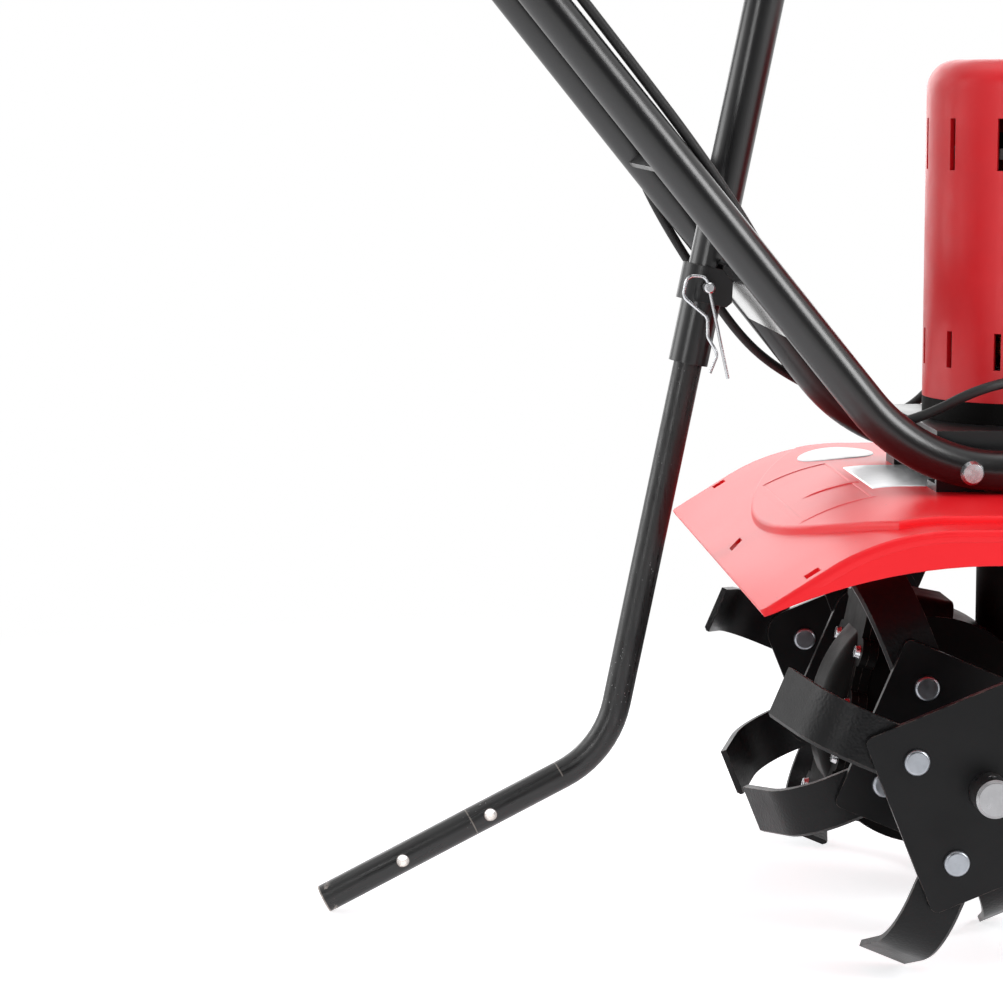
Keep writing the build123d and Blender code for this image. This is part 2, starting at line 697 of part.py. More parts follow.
# Rear cover: a dished drum slice on a scalloped flange
cover_face = cover_plane
dome_half = 27.0
dome_plane = Plane(
    origin=(axle_x + cover_dome_c[0], 0, axle_z + cover_dome_c[1]), x_dir=(1, 0, 0), z_dir=(0, -1, 0)
)
with BuildPart() as dome_hollow:
    with BuildSketch(dome_plane):
        Circle(cover_dome_r - 3.5)
    extrude(amount=dome_half - 3.5, both=True)
    fillet(dome_hollow.edges().filter_by(GeomType.CIRCLE), radius=11)

with BuildPart() as gear_cover:
    with BuildSketch(dome_plane):
        Circle(cover_dome_r)
    extrude(amount=dome_half, both=True)
    fillet(gear_cover.edges().filter_by(GeomType.CIRCLE), radius=14)
    with BuildSketch(cover_face):
        Rectangle(300, 300)
    extrude(amount=100, mode=Mode.INTERSECT)
    with BuildSketch(cover_face):
        with Locations((0, flange_mid)):
            RectangleRounded(2 * case_half + 3, flange_high - flange_low + 4, 12)
        with Locations(*ears):
            Circle(ear_r)
    extrude(amount=flange_t)
    add(dome_hollow.part, mode=Mode.SUBTRACT)
    with BuildSketch(cover_face):
        with Locations(*ears):
            Circle(cover_screw_r + 0.1)
    extrude(amount=flange_t + 1, mode=Mode.SUBTRACT)
gear_cover.part.label = "gear_cover"
export_step(gear_cover.part, "parts/gear_cover.step")

# Pan head screws round the cover
with BuildPart() as cover_screws:
    with BuildSketch(cover_face.offset(flange_t)):
        with Locations(*ears):
            Circle(2 * cover_screw_r)
    extrude(amount=2.8, taper=18)
    with BuildSketch(cover_face.offset(flange_t)):
        with Locations(*ears):
            Circle(cover_screw_r)
    extrude(amount=-2 * flange_t - 1)
cover_screws.part.label = "cover_screws"
export_step(cover_screws.part, "parts/cover_screws.step")

# Shaft bearings and lip seals in the case bosses
with BuildPart() as shaft_bearings:
    with BuildSketch(Plane(origin=(axle_x, -boss_end + 7, axle_z), x_dir=(1, 0, 0), z_dir=(0, 1, 0))):
        Circle(bearing_r)
        Circle(shaft_r + fit, mode=Mode.SUBTRACT)
    extrude(amount=12)
    mirror(about=Plane.XZ)
shaft_bearings.part.label = "shaft_bearings"
export_step(shaft_bearings.part, "parts/shaft_bearings.step")

with BuildPart() as shaft_seals:
    with BuildSketch(Plane(origin=(axle_x, -boss_end, axle_z), x_dir=(1, 0, 0), z_dir=(0, 1, 0))):
        Circle(bearing_r)
        Circle(shaft_r + fit, mode=Mode.SUBTRACT)
    extrude(amount=6)
    mirror(about=Plane.XZ)
shaft_seals.part.label = "shaft_seals"
export_step(shaft_seals.part, "parts/shaft_seals.step")

# Tine shaft with cross holes for the hub pins
pin_y = (-150.0, -60.0, 60.0, 150.0)
hub_pin_r = 3.0
with BuildPart() as tine_shaft:
    with BuildSketch(axle):
        Circle(shaft_r)
    extrude(amount=shaft_half, both=True)
    chamfer(tine_shaft.edges().filter_by(GeomType.CIRCLE), length=1.5)
    with BuildSketch(Plane(origin=(axle_x, 0, axle_z))):
        for y in pin_y:
            with Locations((0, y)):
                Circle(hub_pin_r + 0.1)
        with Locations((0, -shaft_half + 9), (0, shaft_half - 9)):
            Circle(2.5)
    extrude(amount=shaft_r + 1, both=True, mode=Mode.SUBTRACT)
tine_shaft.part.label = "tine_shaft"
export_step(tine_shaft.part, "parts/tine_shaft.step")

with BuildPart() as hub_pins:
    with BuildSketch(Plane(origin=(axle_x, 0, axle_z))):
        for y in pin_y:
            with Locations((0, y)):
                Circle(hub_pin_r)
    extrude(amount=hub_tube_r + 2, both=True)
hub_pins.part.label = "hub_pins"
export_step(hub_pins.part, "parts/hub_pins.step")

# Worm wheel on the tine shaft, a tooth gap toward the worm
wheel_r = module * teeth / 2
with BuildPart() as worm_wheel:
    with BuildSketch(axle):
        Circle(wheel_r - 1.25 * module)
        for k in range(teeth):
            turn = 360 / teeth * (k + 0.5)
            with Locations(Location((wheel_r * math.cos(math.radians(turn)), wheel_r * math.sin(math.radians(turn))), turn)):
                Polygon((-1.6 * module, -3.3), (module, -1.5), (module, 1.5), (-1.6 * module, 3.3), align=None)
        Circle(shaft_r + fit, mode=Mode.SUBTRACT)
    extrude(amount=8, both=True)
worm_wheel.part.label = "worm_wheel"
export_step(worm_wheel.part, "parts/worm_wheel.step")

# One tine blade lying beyond its hub plate, for the right and for the left side
out_r = blade_bend_r + blade_t / 2
in_r = blade_bend_r - blade_t / 2
sin_b = math.sin(blade_bend)
cos_b = math.cos(blade_bend)
bend_out = (blade_bend_at + out_r * sin_b, out_r - out_r * cos_b)
bend_in = (blade_bend_at + in_r * sin_b, out_r - in_r * cos_b)
tip_out = (bend_out[0] + blade_straight * cos_b, bend_out[1] + blade_straight * sin_b)
tip_in = (bend_in[0] + blade_straight * cos_b, bend_in[1] + blade_straight * sin_b)
with BuildPart() as blade_right:
    with BuildSketch():
        with BuildLine():
            Line((blade_root, 0), (blade_bend_at, 0))
            RadiusArc((blade_bend_at, 0), bend_out, -out_r)
            Line(bend_out, tip_out)
            Line(tip_out, tip_in)
            Line(tip_in, bend_in)
            RadiusArc(bend_in, (blade_bend_at, blade_t), in_r)
            Line((blade_bend_at, blade_t), (blade_root, blade_t))
            Line((blade_root, blade_t), (blade_root, 0))
        make_face()
    extrude(amount=blade_w / 2, both=True)
    edges_up = blade_right.edges().filter_by(lambda e: e.center().Z > blade_w / 2 - 0.1)
    outer_arc = edges_up.filter_by(GeomType.CIRCLE).sort_by(SortBy.LENGTH)[-1]
    outer_line = edges_up.filter_by(GeomType.LINE).filter_by(lambda e: e.length > 2 * blade_t).sort_by(Axis.X)[-1]
    chamfer([outer_arc, outer_line], length=blade_t / 2)
    with BuildSketch(Plane.XZ):
        with Locations((tine_bolt_at, 0)):
            Circle(tine_bolt_r + 0.2)
    extrude(amount=-blade_t, mode=Mode.SUBTRACT)

with BuildPart() as blade_left:
    add(blade_right.part)
    mirror(about=Plane.XZ.offset(-blade_t / 2), mode=Mode.REPLACE)

# Tine sets: hub plate with its tube, four blades, four carriage bolts, four nuts
set_names = ("outer_right", "inner_right", "inner_left", "outer_left")
set_y = (-outer_y, -inner_y, inner_y, outer_y)
set_phase = (outer_phase, inner_phase, inner_phase, outer_phase)
# The left blades bend back past their plates, whose corners are rounded clear of them
set_corner_r = (hub_corner_r, hub_corner_r, hub_corner_left_r, hub_corner_left_r)
hub_tube_end = (-inner_y - hub_t / 2 - 1.5, -boss_end - 1.5, boss_end + 1.5, inner_y + hub_t / 2 + 1.5)
hubs = []
for y, phase, corner_r, tube_end, pin_at in zip(set_y, set_phase, set_corner_r, hub_tube_end, pin_y):
    with BuildPart() as tine_hub:
        with BuildSketch(Plane(origin=(axle_x, y, axle_z), x_dir=(1, 0, 0), z_dir=(0, -1, 0))):
            RectangleRounded(hub_side, hub_side, corner_r, rotation=phase - 45)
            with PolarLocations(tine_bolt_at, 4, start_angle=phase):
                Circle(tine_bolt_r + 0.2, mode=Mode.SUBTRACT)
        extrude(amount=hub_t / 2, both=True)
        with BuildSketch(Plane(origin=(axle_x, y, axle_z), x_dir=(1, 0, 0), z_dir=(0, -1, 0))):
            Circle(hub_tube_r)
        extrude(amount=y - tube_end)
        with BuildSketch(Plane(origin=(axle_x, y, axle_z), x_dir=(1, 0, 0), z_dir=(0, -1, 0))):
            Circle(shaft_r + fit)
        extrude(amount=200, both=True, mode=Mode.SUBTRACT)
        with BuildSketch(Plane(origin=(axle_x, pin_at, axle_z))):
            Circle(hub_pin_r + 0.1)
        extrude(amount=hub_tube_r + 1, both=True, mode=Mode.SUBTRACT)
    hubs.append(tine_hub)
for name, tine_hub in zip(set_names, hubs):
    tine_hub.part.label = "tine_hub_" + name
    export_step(tine_hub.part, "parts/tine_hub_" + name + ".step")

blade_sets = []
for y, phase in zip(set_y, set_phase):
    with BuildPart() as tine_blades:
        for k in range(4):
            with Locations(Location((axle_x, y + hub_t / 2, axle_z), (0, -phase - 90 * k, 0))):
                add(blade_right.part if y < 0 else blade_left.part)
    blade_sets.append(tine_blades)
for name, tine_blades in zip(set_names, blade_sets):
    tine_blades.part.label = "tine_blades_" + name
    export_step(tine_blades.part, "parts/tine_blades_" + name + ".step")

bolt_places = []
for y, phase in zip(set_y, set_phase):
    for k in range(4):
        turn = math.radians(phase + 90 * k)
        bolt_places.append((axle_x + tine_bolt_at * math.cos(turn), y, axle_z + tine_bolt_at * math.sin(turn)))
with BuildPart() as one_bolt:
    with BuildSketch(Plane(origin=(0, -hub_t / 2, 0), x_dir=(1, 0, 0), z_dir=(0, -1, 0))):
        Circle(tine_head_r)
    extrude(amount=3)
    fillet(one_bolt.edges().sort_by(Axis.Y)[0], radius=1.6)
    with BuildSketch(Plane(origin=(0, -hub_t / 2, 0), x_dir=(1, 0, 0), z_dir=(0, 1, 0))):
        Circle(tine_bolt_r)
    extrude(amount=hub_t + blade_t + nut_h + 2)
with BuildPart() as tine_bolts:
    with Locations(*bolt_places):
        add(one_bolt.part)
tine_bolts.part.label = "tine_bolts"
export_step(tine_bolts.part, "parts/tine_bolts.step")

with BuildPart() as one_nut:
    with BuildSketch(Plane(origin=(0, hub_t / 2 + blade_t, 0), x_dir=(1, 0, 0), z_dir=(0, 1, 0))):
        RegularPolygon(nut_flat / 2, 6, major_radius=False)
        Circle(tine_bolt_r + fit, mode=Mode.SUBTRACT)
    extrude(amount=nut_h)
with BuildPart() as tine_nuts:
    with Locations(*bolt_places):
        add(one_nut.part)
tine_nuts.part.label = "tine_nuts"
export_step(tine_nuts.part, "parts/tine_nuts.step")

# Motor on the bracket, its axis the worm's axis
motor_x = axle_x + worm_x
bell_top = bracket_top + bell_t
bell_bearing_z = bell_top - bearing_h
top_bearing_z = 446.0
gland_z = 306.0
gland_r = 7.0
gland_len = 14.0
gland_turn = 75.0
with BuildPart() as motor_bell:
    with BuildSketch(Plane(origin=(motor_x, 0, bracket_top))):
        Circle(motor_r)
        Circle(armature_r + 2, mode=Mode.SUBTRACT)
        with PolarLocations(neck_bolt_at, 4, start_angle=45):
            Circle(screw_r + fit, mode=Mode.SUBTRACT)
    extrude(amount=bell_t)
    with BuildSketch(Plane(origin=(motor_x, 0, bell_bearing_z))):
        Circle(bearing_out_r + fit)
    extrude(amount=bearing_h + 1, mode=Mode.SUBTRACT)
motor_bell.part.label = "motor_bell"
export_step(motor_bell.part, "parts/motor_bell.step")

with BuildPart() as motor_screws:
    with BuildSketch(Plane(origin=(motor_x, 0, neck_top_z - neck_flange_t))):
        with PolarLocations(neck_bolt_at, 4, start_angle=45):
            RegularPolygon(4, 6, major_radius=False)
    extrude(amount=-3.5)
    with BuildSketch(Plane(origin=(motor_x, 0, neck_top_z - neck_flange_t))):
        with PolarLocations(neck_bolt_at, 4, start_angle=45):
            Circle(screw_r)
    extrude(amount=neck_flange_t + bracket_t + bell_t - 2)
motor_screws.part.label = "motor_screws"
export_step(motor_screws.part, "parts/motor_screws.step")

# Motor cover with vent slots, a seat for the top bearing and two gland holes
with BuildPart() as motor_cover:
    with BuildSketch(Plane(origin=(motor_x, 0, bell_top))):
        Circle(motor_r)
    extrude(amount=motor_top_z - bell_top)
    fillet(motor_cover.edges().filter_by(GeomType.CIRCLE).sort_by(Axis.Z)[-1], radius=16)
    with BuildSketch(Plane(origin=(motor_x, 0, bell_top))):
        Circle(motor_r - motor_wall)
    extrude(amount=motor_top_z - 16 - bell_top, mode=Mode.SUBTRACT)
    with BuildSketch(Plane(origin=(motor_x, 0, top_bearing_z))):
        Circle(bearing_out_r + 5)
    extrude(amount=motor_top_z - 10 - top_bearing_z)
    with BuildSketch(Plane(origin=(motor_x, 0, top_bearing_z))):
        Circle(bearing_out_r + fit)
    extrude(amount=bearing_h, mode=Mode.SUBTRACT)
    with BuildSketch(Plane(origin=(motor_x, 0, top_bearing_z))):
        Circle(armature_r + 1)
    extrude(amount=bearing_h + 7, mode=Mode.SUBTRACT)
    with Locations((motor_x, 0, 318)):
        with PolarLocations(motor_r, 12):
            Box(12, 4, 20, mode=Mode.SUBTRACT)
    with Locations((motor_x, 0, 430)):
        with PolarLocations(motor_r, 12):
            Box(12, 4, 28, mode=Mode.SUBTRACT)
    for turn in (180 - gland_turn, 180 + gland_turn):
        axis = (math.cos(math.radians(turn)), math.sin(math.radians(turn)), 0)
        with BuildSketch(Plane(origin=(motor_x, 0, gland_z), x_dir=(0, 0, 1), z_dir=axis)):
            Circle(gland_r - 2)
        extrude(amount=motor_r + 2, mode=Mode.SUBTRACT)
motor_cover.part.label = "motor_cover"
export_step(motor_cover.part, "parts/motor_cover.step")

with BuildPart() as cable_glands:
    for turn in (180 - gland_turn, 180 + gland_turn):
        axis = Vector(math.cos(math.radians(turn)), math.sin(math.radians(turn)), 0)
        with BuildSketch(Plane(origin=Vector(motor_x, 0, gland_z) + axis * (motor_r + fit), x_dir=(0, 0, 1), z_dir=axis)):
            RegularPolygon(gland_r, 6)
        extrude(amount=gland_len)
        with BuildSketch(Plane(origin=Vector(motor_x, 0, gland_z) + axis * (motor_r + 1), x_dir=(0, 0, 1), z_dir=axis)):
            Circle(gland_r - 2 - fit)
        extrude(amount=-7)
        with BuildSketch(Plane(origin=Vector(motor_x, 0, gland_z) + axis * 40, x_dir=(0, 0, 1), z_dir=axis)):
            Circle(lead_r + fit)
        extrude(amount=60, mode=Mode.SUBTRACT)
cable_glands.part.label = "cable_glands"
export_step(cable_glands.part, "parts/cable_glands.step")

# Stator, field coils and brush plate
with BuildPart() as stator_core:
    with BuildSketch(Plane(origin=(motor_x, 0, stator_low))):
        Circle(motor_r - motor_wall - fit)
        Circle(rotor_r + 0.8, mode=Mode.SUBTRACT)
    extrude(amount=stator_high - stator_low)
stator_core.part.label = "stator_core"
export_step(stator_core.part, "parts/stator_core.step")

coil_h = 14.0
coil_in_r = 36.0
coil_out_r = 52.0
with BuildPart() as field_coils:
    with BuildSketch(Plane(origin=(motor_x, 0, stator_high))):
        Circle(coil_out_r)
        Circle(coil_in_r, mode=Mode.SUBTRACT)
    extrude(amount=coil_h)
    with BuildSketch(Plane(origin=(motor_x, 0, stator_low))):
        Circle(coil_out_r)
        Circle(coil_in_r, mode=Mode.SUBTRACT)
    extrude(amount=-coil_h)
field_coils.part.label = "field_coils"
export_step(field_coils.part, "parts/field_coils.step")

brush_low = 422.0
brush_ring_r = 40.0
brush_ring_t = 6.0
brush_w = 10.0
brush_h = 14.0
with BuildPart() as brush_plate:
    with BuildSketch(Plane(origin=(motor_x, 0, brush_low))):
        Circle(motor_r - motor_wall - fit)
        Circle(brush_ring_r, mode=Mode.SUBTRACT)
    extrude(amount=brush_ring_t)
    with BuildSketch(Plane(origin=(motor_x, 0, brush_low))):
        Rectangle(2 * brush_ring_r + 4, brush_w)
        Rectangle(2 * (commutator_r + 0.4), brush_w + 2, mode=Mode.SUBTRACT)
    extrude(amount=brush_h)
brush_plate.part.label = "brush_plate"
export_step(brush_plate.part, "parts/brush_plate.step")

# Armature: shaft with the worm cut on it, rotor core, commutator, fan
worm_root_r = worm_pitch_r - 1.12 * module
shaft_foot = foot_bearing_z + 0.6
with BuildPart() as armature_shaft:
    with BuildLine() as worm_helix:
        Helix(
            pitch=worm_lead,
            height=worm_turns * worm_lead,
            radius=worm_pitch_r,
            center=(motor_x, 0, axle_z - worm_turns * worm_lead / 2),
        )
    with BuildSketch(Plane(origin=worm_helix.line @ 0, x_dir=(1, 0, 0), z_dir=worm_helix.line % 0)):
        Polygon((-5.0, -3.0), (module, -1.3), (module, 1.3), (-5.0, 3.0), align=None)
    sweep(is_frenet=True)
    with BuildSketch(Plane(origin=(motor_x, 0, shaft_foot))):
        Circle(armature_r)
    extrude(amount=top_bearing_z + bearing_h - shaft_foot)
    with BuildSketch(Plane(origin=(motor_x, 0, axle_z - worm_turns * worm_lead / 2 - 8))):
        Circle(worm_root_r)
    extrude(amount=worm_turns * worm_lead + 16)
armature_shaft.part.label = "armature_shaft"
export_step(armature_shaft.part, "parts/armature_shaft.step")

with BuildPart() as rotor_core:
    with BuildSketch(Plane(origin=(motor_x, 0, stator_low + 2))):
        Circle(rotor_r)
        Circle(armature_r + fit, mode=Mode.SUBTRACT)
        with PolarLocations(rotor_r - 3, 12):
            Rectangle(8, 3, mode=Mode.SUBTRACT)
    extrude(amount=stator_high - stator_low - 4)
rotor_core.part.label = "rotor_core"
export_step(rotor_core.part, "parts/rotor_core.step")

with BuildPart() as commutator:
    with BuildSketch(Plane(origin=(motor_x, 0, brush_low - 4))):
        Circle(commutator_r)
        Circle(armature_r + fit, mode=Mode.SUBTRACT)
    extrude(amount=brush_h + 8)
commutator.part.label = "commutator"
export_step(commutator.part, "parts/commutator.step")

with BuildPart() as fan:
    with BuildSketch(Plane(origin=(motor_x, 0, bell_top + 3))):
        Circle(48)
    extrude(amount=2)
    with BuildSketch(Plane(origin=(motor_x, 0, bell_top + 3))):
        Circle(12)
        with PolarLocations(30, 9):
            Rectangle(30, 2)
    extrude(amount=11)
    with BuildSketch(Plane(origin=(motor_x, 0, bell_top))):
        Circle(armature_r + fit)
    extrude(amount=30, mode=Mode.SUBTRACT)
fan.part.label = "fan"
export_step(fan.part, "parts/fan.step")

with BuildPart() as motor_bearings:
    for z in (foot_bearing_z, bell_bearing_z, top_bearing_z):
        with BuildSketch(Plane(origin=(motor_x, 0, z))):
            Circle(bearing_out_r)
            Circle(armature_r + fit, mode=Mode.SUBTRACT)
        extrude(amount=bearing_h)
motor_bearings.part.label = "motor_bearings"
export_step(motor_bearings.part, "parts/motor_bearings.step")

# Grips, local x inward, local y down and local z rearward along the grip
grip_side = Vector(grip_axis.Y, -grip_axis.X, 0).normalized()
grip_plane = Plane(origin=grip_end - grip_axis * grip_len, x_dir=grip_side, z_dir=grip_axis)
with BuildPart() as grip_right:
    with BuildSketch(grip_plane):
        Circle(grip_r)
    extrude(amount=grip_len + 4)
    fillet(grip_right.edges().filter_by(GeomType.CIRCLE), radius=3)
    with BuildSketch(grip_plane):
        Circle(tube_r + fit)
    extrude(amount=grip_len, mode=Mode.SUBTRACT)
grip_right.part.label = "grip_right"
export_step(grip_right.part, "parts/grip_right.step")

with BuildPart() as grip_left:
    add(grip_right.part)
    mirror(about=Plane.XZ, mode=Mode.REPLACE)
grip_left.part.label = "grip_left"
export_step(grip_left.part, "parts/grip_left.step")

# Switch housings on the handle tubes, slotted for the levers
box_w = 44.0
box_top = -20.0
box_foot = 40.0
slot_gap = 0.6
lever_pin_r = 3.0
button_r = 6.0
button_at = (28.0, -70.0)
lead_exit = 15.8
lever_plane = Plane(origin=grip_plane.origin, x_dir=grip_axis, z_dir=-grip_side)
with BuildPart() as switch_box_left_form:
    with BuildSketch(grip_plane.offset(box_low)):
        with Locations((0, (box_top + box_foot) / 2)):
            RectangleRounded(box_w, box_foot - box_top, 8)
    extrude(amount=box_high - box_low)
    with BuildSketch(grip_plane.offset(box_low - 1)):
        Circle(tube_r + fit)
    extrude(amount=box_high - box_low + 2, mode=Mode.SUBTRACT)
    with BuildSketch(grip_plane.offset(lever_pin[0] - 14)):
        with Locations((0, (17 + box_foot + 1) / 2)):
            Rectangle(2 * (lever_half + slot_gap), box_foot + 1 - 17)
    extrude(amount=60, mode=Mode.SUBTRACT)
    with BuildSketch(lever_plane):
        with Locations(lever_pin):
            Circle(lever_pin_r + fit)
    extrude(amount=box_w / 2 - 2, both=True, mode=Mode.SUBTRACT)
    with BuildSketch(grip_plane.offset(box_low - 1)):
        with Locations((0, -lead_exit)):
            Circle(lead_r + 0.4)
    extrude(amount=6, mode=Mode.SUBTRACT)

with BuildPart() as switch_box_right:
    add(switch_box_left_form.part)
    with BuildSketch(lever_plane.offset(-8)):
        with Locations((button_at[1], button_at[0])):
            Circle(button_r + 0.4)
    extrude(amount=-box_w, mode=Mode.SUBTRACT)
switch_box_right.part.label = "switch_box_right"
export_step(switch_box_right.part, "parts/switch_box_right.step")

with BuildPart() as switch_box_left:
    add(switch_box_left_form.part)
    mirror(about=Plane.XZ, mode=Mode.REPLACE)
switch_box_left.part.label = "switch_box_left"
export_step(switch_box_left.part, "parts/switch_box_left.step")

# Switch levers under the grips, and their pins
with BuildPart() as lever_right:
    with BuildSketch(lever_plane) as lever_form:
        Polygon((-34, 20), (-34, 36), (0, 38), (95, 50), (95, 40), (0, 24), (-14, 20), align=None)
        fillet(lever_form.vertices().sort_by(Axis.X)[-2:], radius=3)
        with Locations(lever_pin):
            Circle(lever_pin_r + fit, mode=Mode.SUBTRACT)
    extrude(amount=lever_half, both=True)
lever_right.part.label = "lever_right"
export_step(lever_right.part, "parts/lever_right.step")

with BuildPart() as lever_left:
    add(lever_right.part)
    mirror(about=Plane.XZ, mode=Mode.REPLACE)
lever_left.part.label = "lever_left"
export_step(lever_left.part, "parts/lever_left.step")

with BuildPart() as lever_pins:
    with BuildSketch(lever_plane):
        with Locations(lever_pin):
            Circle(lever_pin_r)
    extrude(amount=box_w / 2 - 2.5, both=True)
    mirror(about=Plane.XZ)
lever_pins.part.label = "lever_pins"
export_step(lever_pins.part, "parts/lever_pins.step")

# Lock-off button in the right housing, standing out of its inner side
button_travel = 4.0
with BuildPart() as lock_button:
    with BuildSketch(lever_plane.offset(-8 - button_travel - 1)):
        with Locations((button_at[1], button_at[0])):
            Circle(button_r)
    extrude(amount=-(box_w / 2 - 8 - 1))
lock_button.part.label = "lock_button"
export_step(lock_button.part, "parts/lock_button.step")

# Mains inlet on the front of the right housing
with BuildPart() as mains_inlet:
    with BuildSketch(grip_plane.offset(box_low)):
        with Locations((0, 24)):
            RectangleRounded(32, 24, 6)
    extrude(amount=-20)
    with BuildSketch(grip_plane.offset(box_low - 4)):
        with Locations((0, 24)):
            RectangleRounded(28, 20, 4)
    extrude(amount=-20, mode=Mode.SUBTRACT)
    with BuildSketch(grip_plane.offset(box_low - 4)):
        with Locations((-7, 24), (7, 24), (0, 20)):
            Rectangle(4, 2)
    extrude(amount=-12)
mains_inlet.part.label = "mains_inlet"
export_step(mains_inlet.part, "parts/mains_inlet.step")

# Leads from the housings along the tubes to the motor
lead_turn = 14.0
lead_lift = 15.0
lead_wrap = 15.3
box_exit = grip_plane.origin + grip_axis * (box_low + 4) - grip_plane.y_dir * lead_exit
over_bend_2 = upper_corner_2 + Vector(9.4, -1.1, 13.5)
over_bend_1 = upper_corner_1 + Vector(up_z, 0, -up_x) * 16.6
gland_axis = Vector(-math.cos(math.radians(gland_turn)), -math.sin(math.radians(gland_turn)), 0)
gland_in = Vector(motor_x, 0, gland_z) + gland_axis * (motor_r - 4)
gland_out = Vector(motor_x, 0, gland_z) + gland_axis * (motor_r + 36)


def flip(point):
    # The same point on the machine's other side
    return Vector(point.X, -point.Y, point.Z)


def beside(along, turn, reach):
    # Point round the right tube: turn 90 is its upper side, 0 its inner side
    return tube_point(along, reach * math.sin(math.radians(turn)), -tube_y + reach * math.cos(math.radians(turn)))


with BuildPart() as lead_right:
    with BuildLine() as lead_line:
        FilletPolyline(
            box_exit,
            over_bend_2,
            over_bend_1,
            beside(250, 90, lead_lift),
            beside(196, 66, lead_lift),
            beside(150, 40, lead_lift),
            beside(98, 0, lead_lift),
            tube_point(45, 0, lead_lift - tube_y),
            Vector(axle_x - 30, lead_lift - tube_y, tube_run_z + 20.8),
            Vector(axle_x - 6, lead_lift - tube_y - 3, gland_z - 12),
            gland_out,
            gland_in,
            radius=lead_turn,
        )
    with BuildSketch(Plane(origin=lead_line.line @ 0, z_dir=lead_line.line % 0)):
        Circle(lead_r)
    sweep()
lead_right.part.label = "lead_right"
export_step(lead_right.part, "parts/lead_right.step")

with BuildPart() as lead_left:
    with BuildLine() as lead_line_left:
        FilletPolyline(
            flip(box_exit),
            flip(over_bend_2),
            flip(over_bend_1),
            flip(beside(270, 90, lead_wrap)),
            flip(beside(245, 135, lead_wrap)),
            flip(beside(219, 180, lead_wrap)),
            flip(beside(192, 214, lead_wrap)),
            flip(beside(160, 250, lead_wrap)),
            tube_point(118, -18.6, tube_y + 2),
            tube_point(88, -19.2, tube_y + 3),
            tube_point(64, -14.5, tube_y + 8),
            tube_point(38, -4, tube_y + lead_wrap),
            Vector(axle_x - 14, tube_y + lead_wrap, tube_run_z + 9.8),
            Vector(axle_x + 9, tube_y + lead_wrap, tube_run_z + 10.6),
            flip(gland_out + gland_axis * 8),
            flip(gland_in),
            radius=lead_turn,
        )
    with BuildSketch(Plane(origin=lead_line_left.line @ 0, z_dir=lead_line_left.line % 0)):
        Circle(lead_r)
    sweep()
lead_left.part.label = "lead_left"
export_step(lead_left.part, "parts/lead_left.step")

# Clips holding the leads on the upper tubes
clip_t = 1.6
clip_gap = 0.9
clip_w = 8.0
upper_dir = (upper_corner_2 - upper_corner_1).normalized()
with BuildPart() as lead_clips:
    for at, way, lead_at in (
        (joint_top + joint_dir * 8, joint_dir, 16.1),
        (upper_corner_1 + upper_dir * 150, upper_dir, 16.4),
    ):
        lift = Vector(up_z, 0, -up_x)
        lift = (lift - way * lift.dot(way)).normalized()
        with BuildSketch(Plane(origin=at, x_dir=lift, z_dir=way)):
            Circle(tube_r + fit + clip_t)
            with Locations((lead_at, 0)):
                Circle(lead_r + clip_gap + clip_t)
            Circle(tube_r + fit, mode=Mode.SUBTRACT)
            with Locations((lead_at, 0)):
                Circle(lead_r + clip_gap, mode=Mode.SUBTRACT)
        extrude(amount=clip_w)
    mirror(about=Plane.XZ)
lead_clips.part.label = "lead_clips"
export_step(lead_clips.part, "parts/lead_clips.step")
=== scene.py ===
import math
import bmesh
import bpy
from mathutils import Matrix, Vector
from mathutils.bvhtree import BVHTree


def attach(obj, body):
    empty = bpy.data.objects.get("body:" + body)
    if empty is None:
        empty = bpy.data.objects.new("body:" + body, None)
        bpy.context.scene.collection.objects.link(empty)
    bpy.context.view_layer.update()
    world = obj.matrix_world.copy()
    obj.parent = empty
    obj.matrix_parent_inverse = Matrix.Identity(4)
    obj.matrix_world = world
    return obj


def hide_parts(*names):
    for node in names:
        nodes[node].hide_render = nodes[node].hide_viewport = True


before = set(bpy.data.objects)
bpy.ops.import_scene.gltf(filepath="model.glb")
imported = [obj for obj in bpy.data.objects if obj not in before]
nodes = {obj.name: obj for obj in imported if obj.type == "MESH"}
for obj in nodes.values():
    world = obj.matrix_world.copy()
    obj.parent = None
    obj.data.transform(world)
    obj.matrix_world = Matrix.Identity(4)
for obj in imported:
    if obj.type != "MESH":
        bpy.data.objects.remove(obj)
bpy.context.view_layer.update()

# Places taken from the CAD model, in metres
AXLE = Vector((0.27953, 0.0, 0.10575))
STAKE_END = Vector((AXLE.x - 0.3364, 0.0, 0.00712))
STAKE_BEND = Vector((AXLE.x - 0.1771, 0.0, 0.0902))
LEG = (STAKE_BEND - STAKE_END).normalized()
LEG_HOLES = (0.0499, 0.1055)
LEAN = math.radians(11.6)

# The shield's skin: its middle, half its flat part, its top, the radius of its bend and its slope at the ends
SKIN_MID, SKIN_FLAT, SKIN_TOP, SKIN_R = AXLE.x + 0.0005, 0.020, 0.241, 0.122
SKIN_SLOPE = math.radians(32)

WHITE = (1.0, 1.0, 1.0, 1.0)


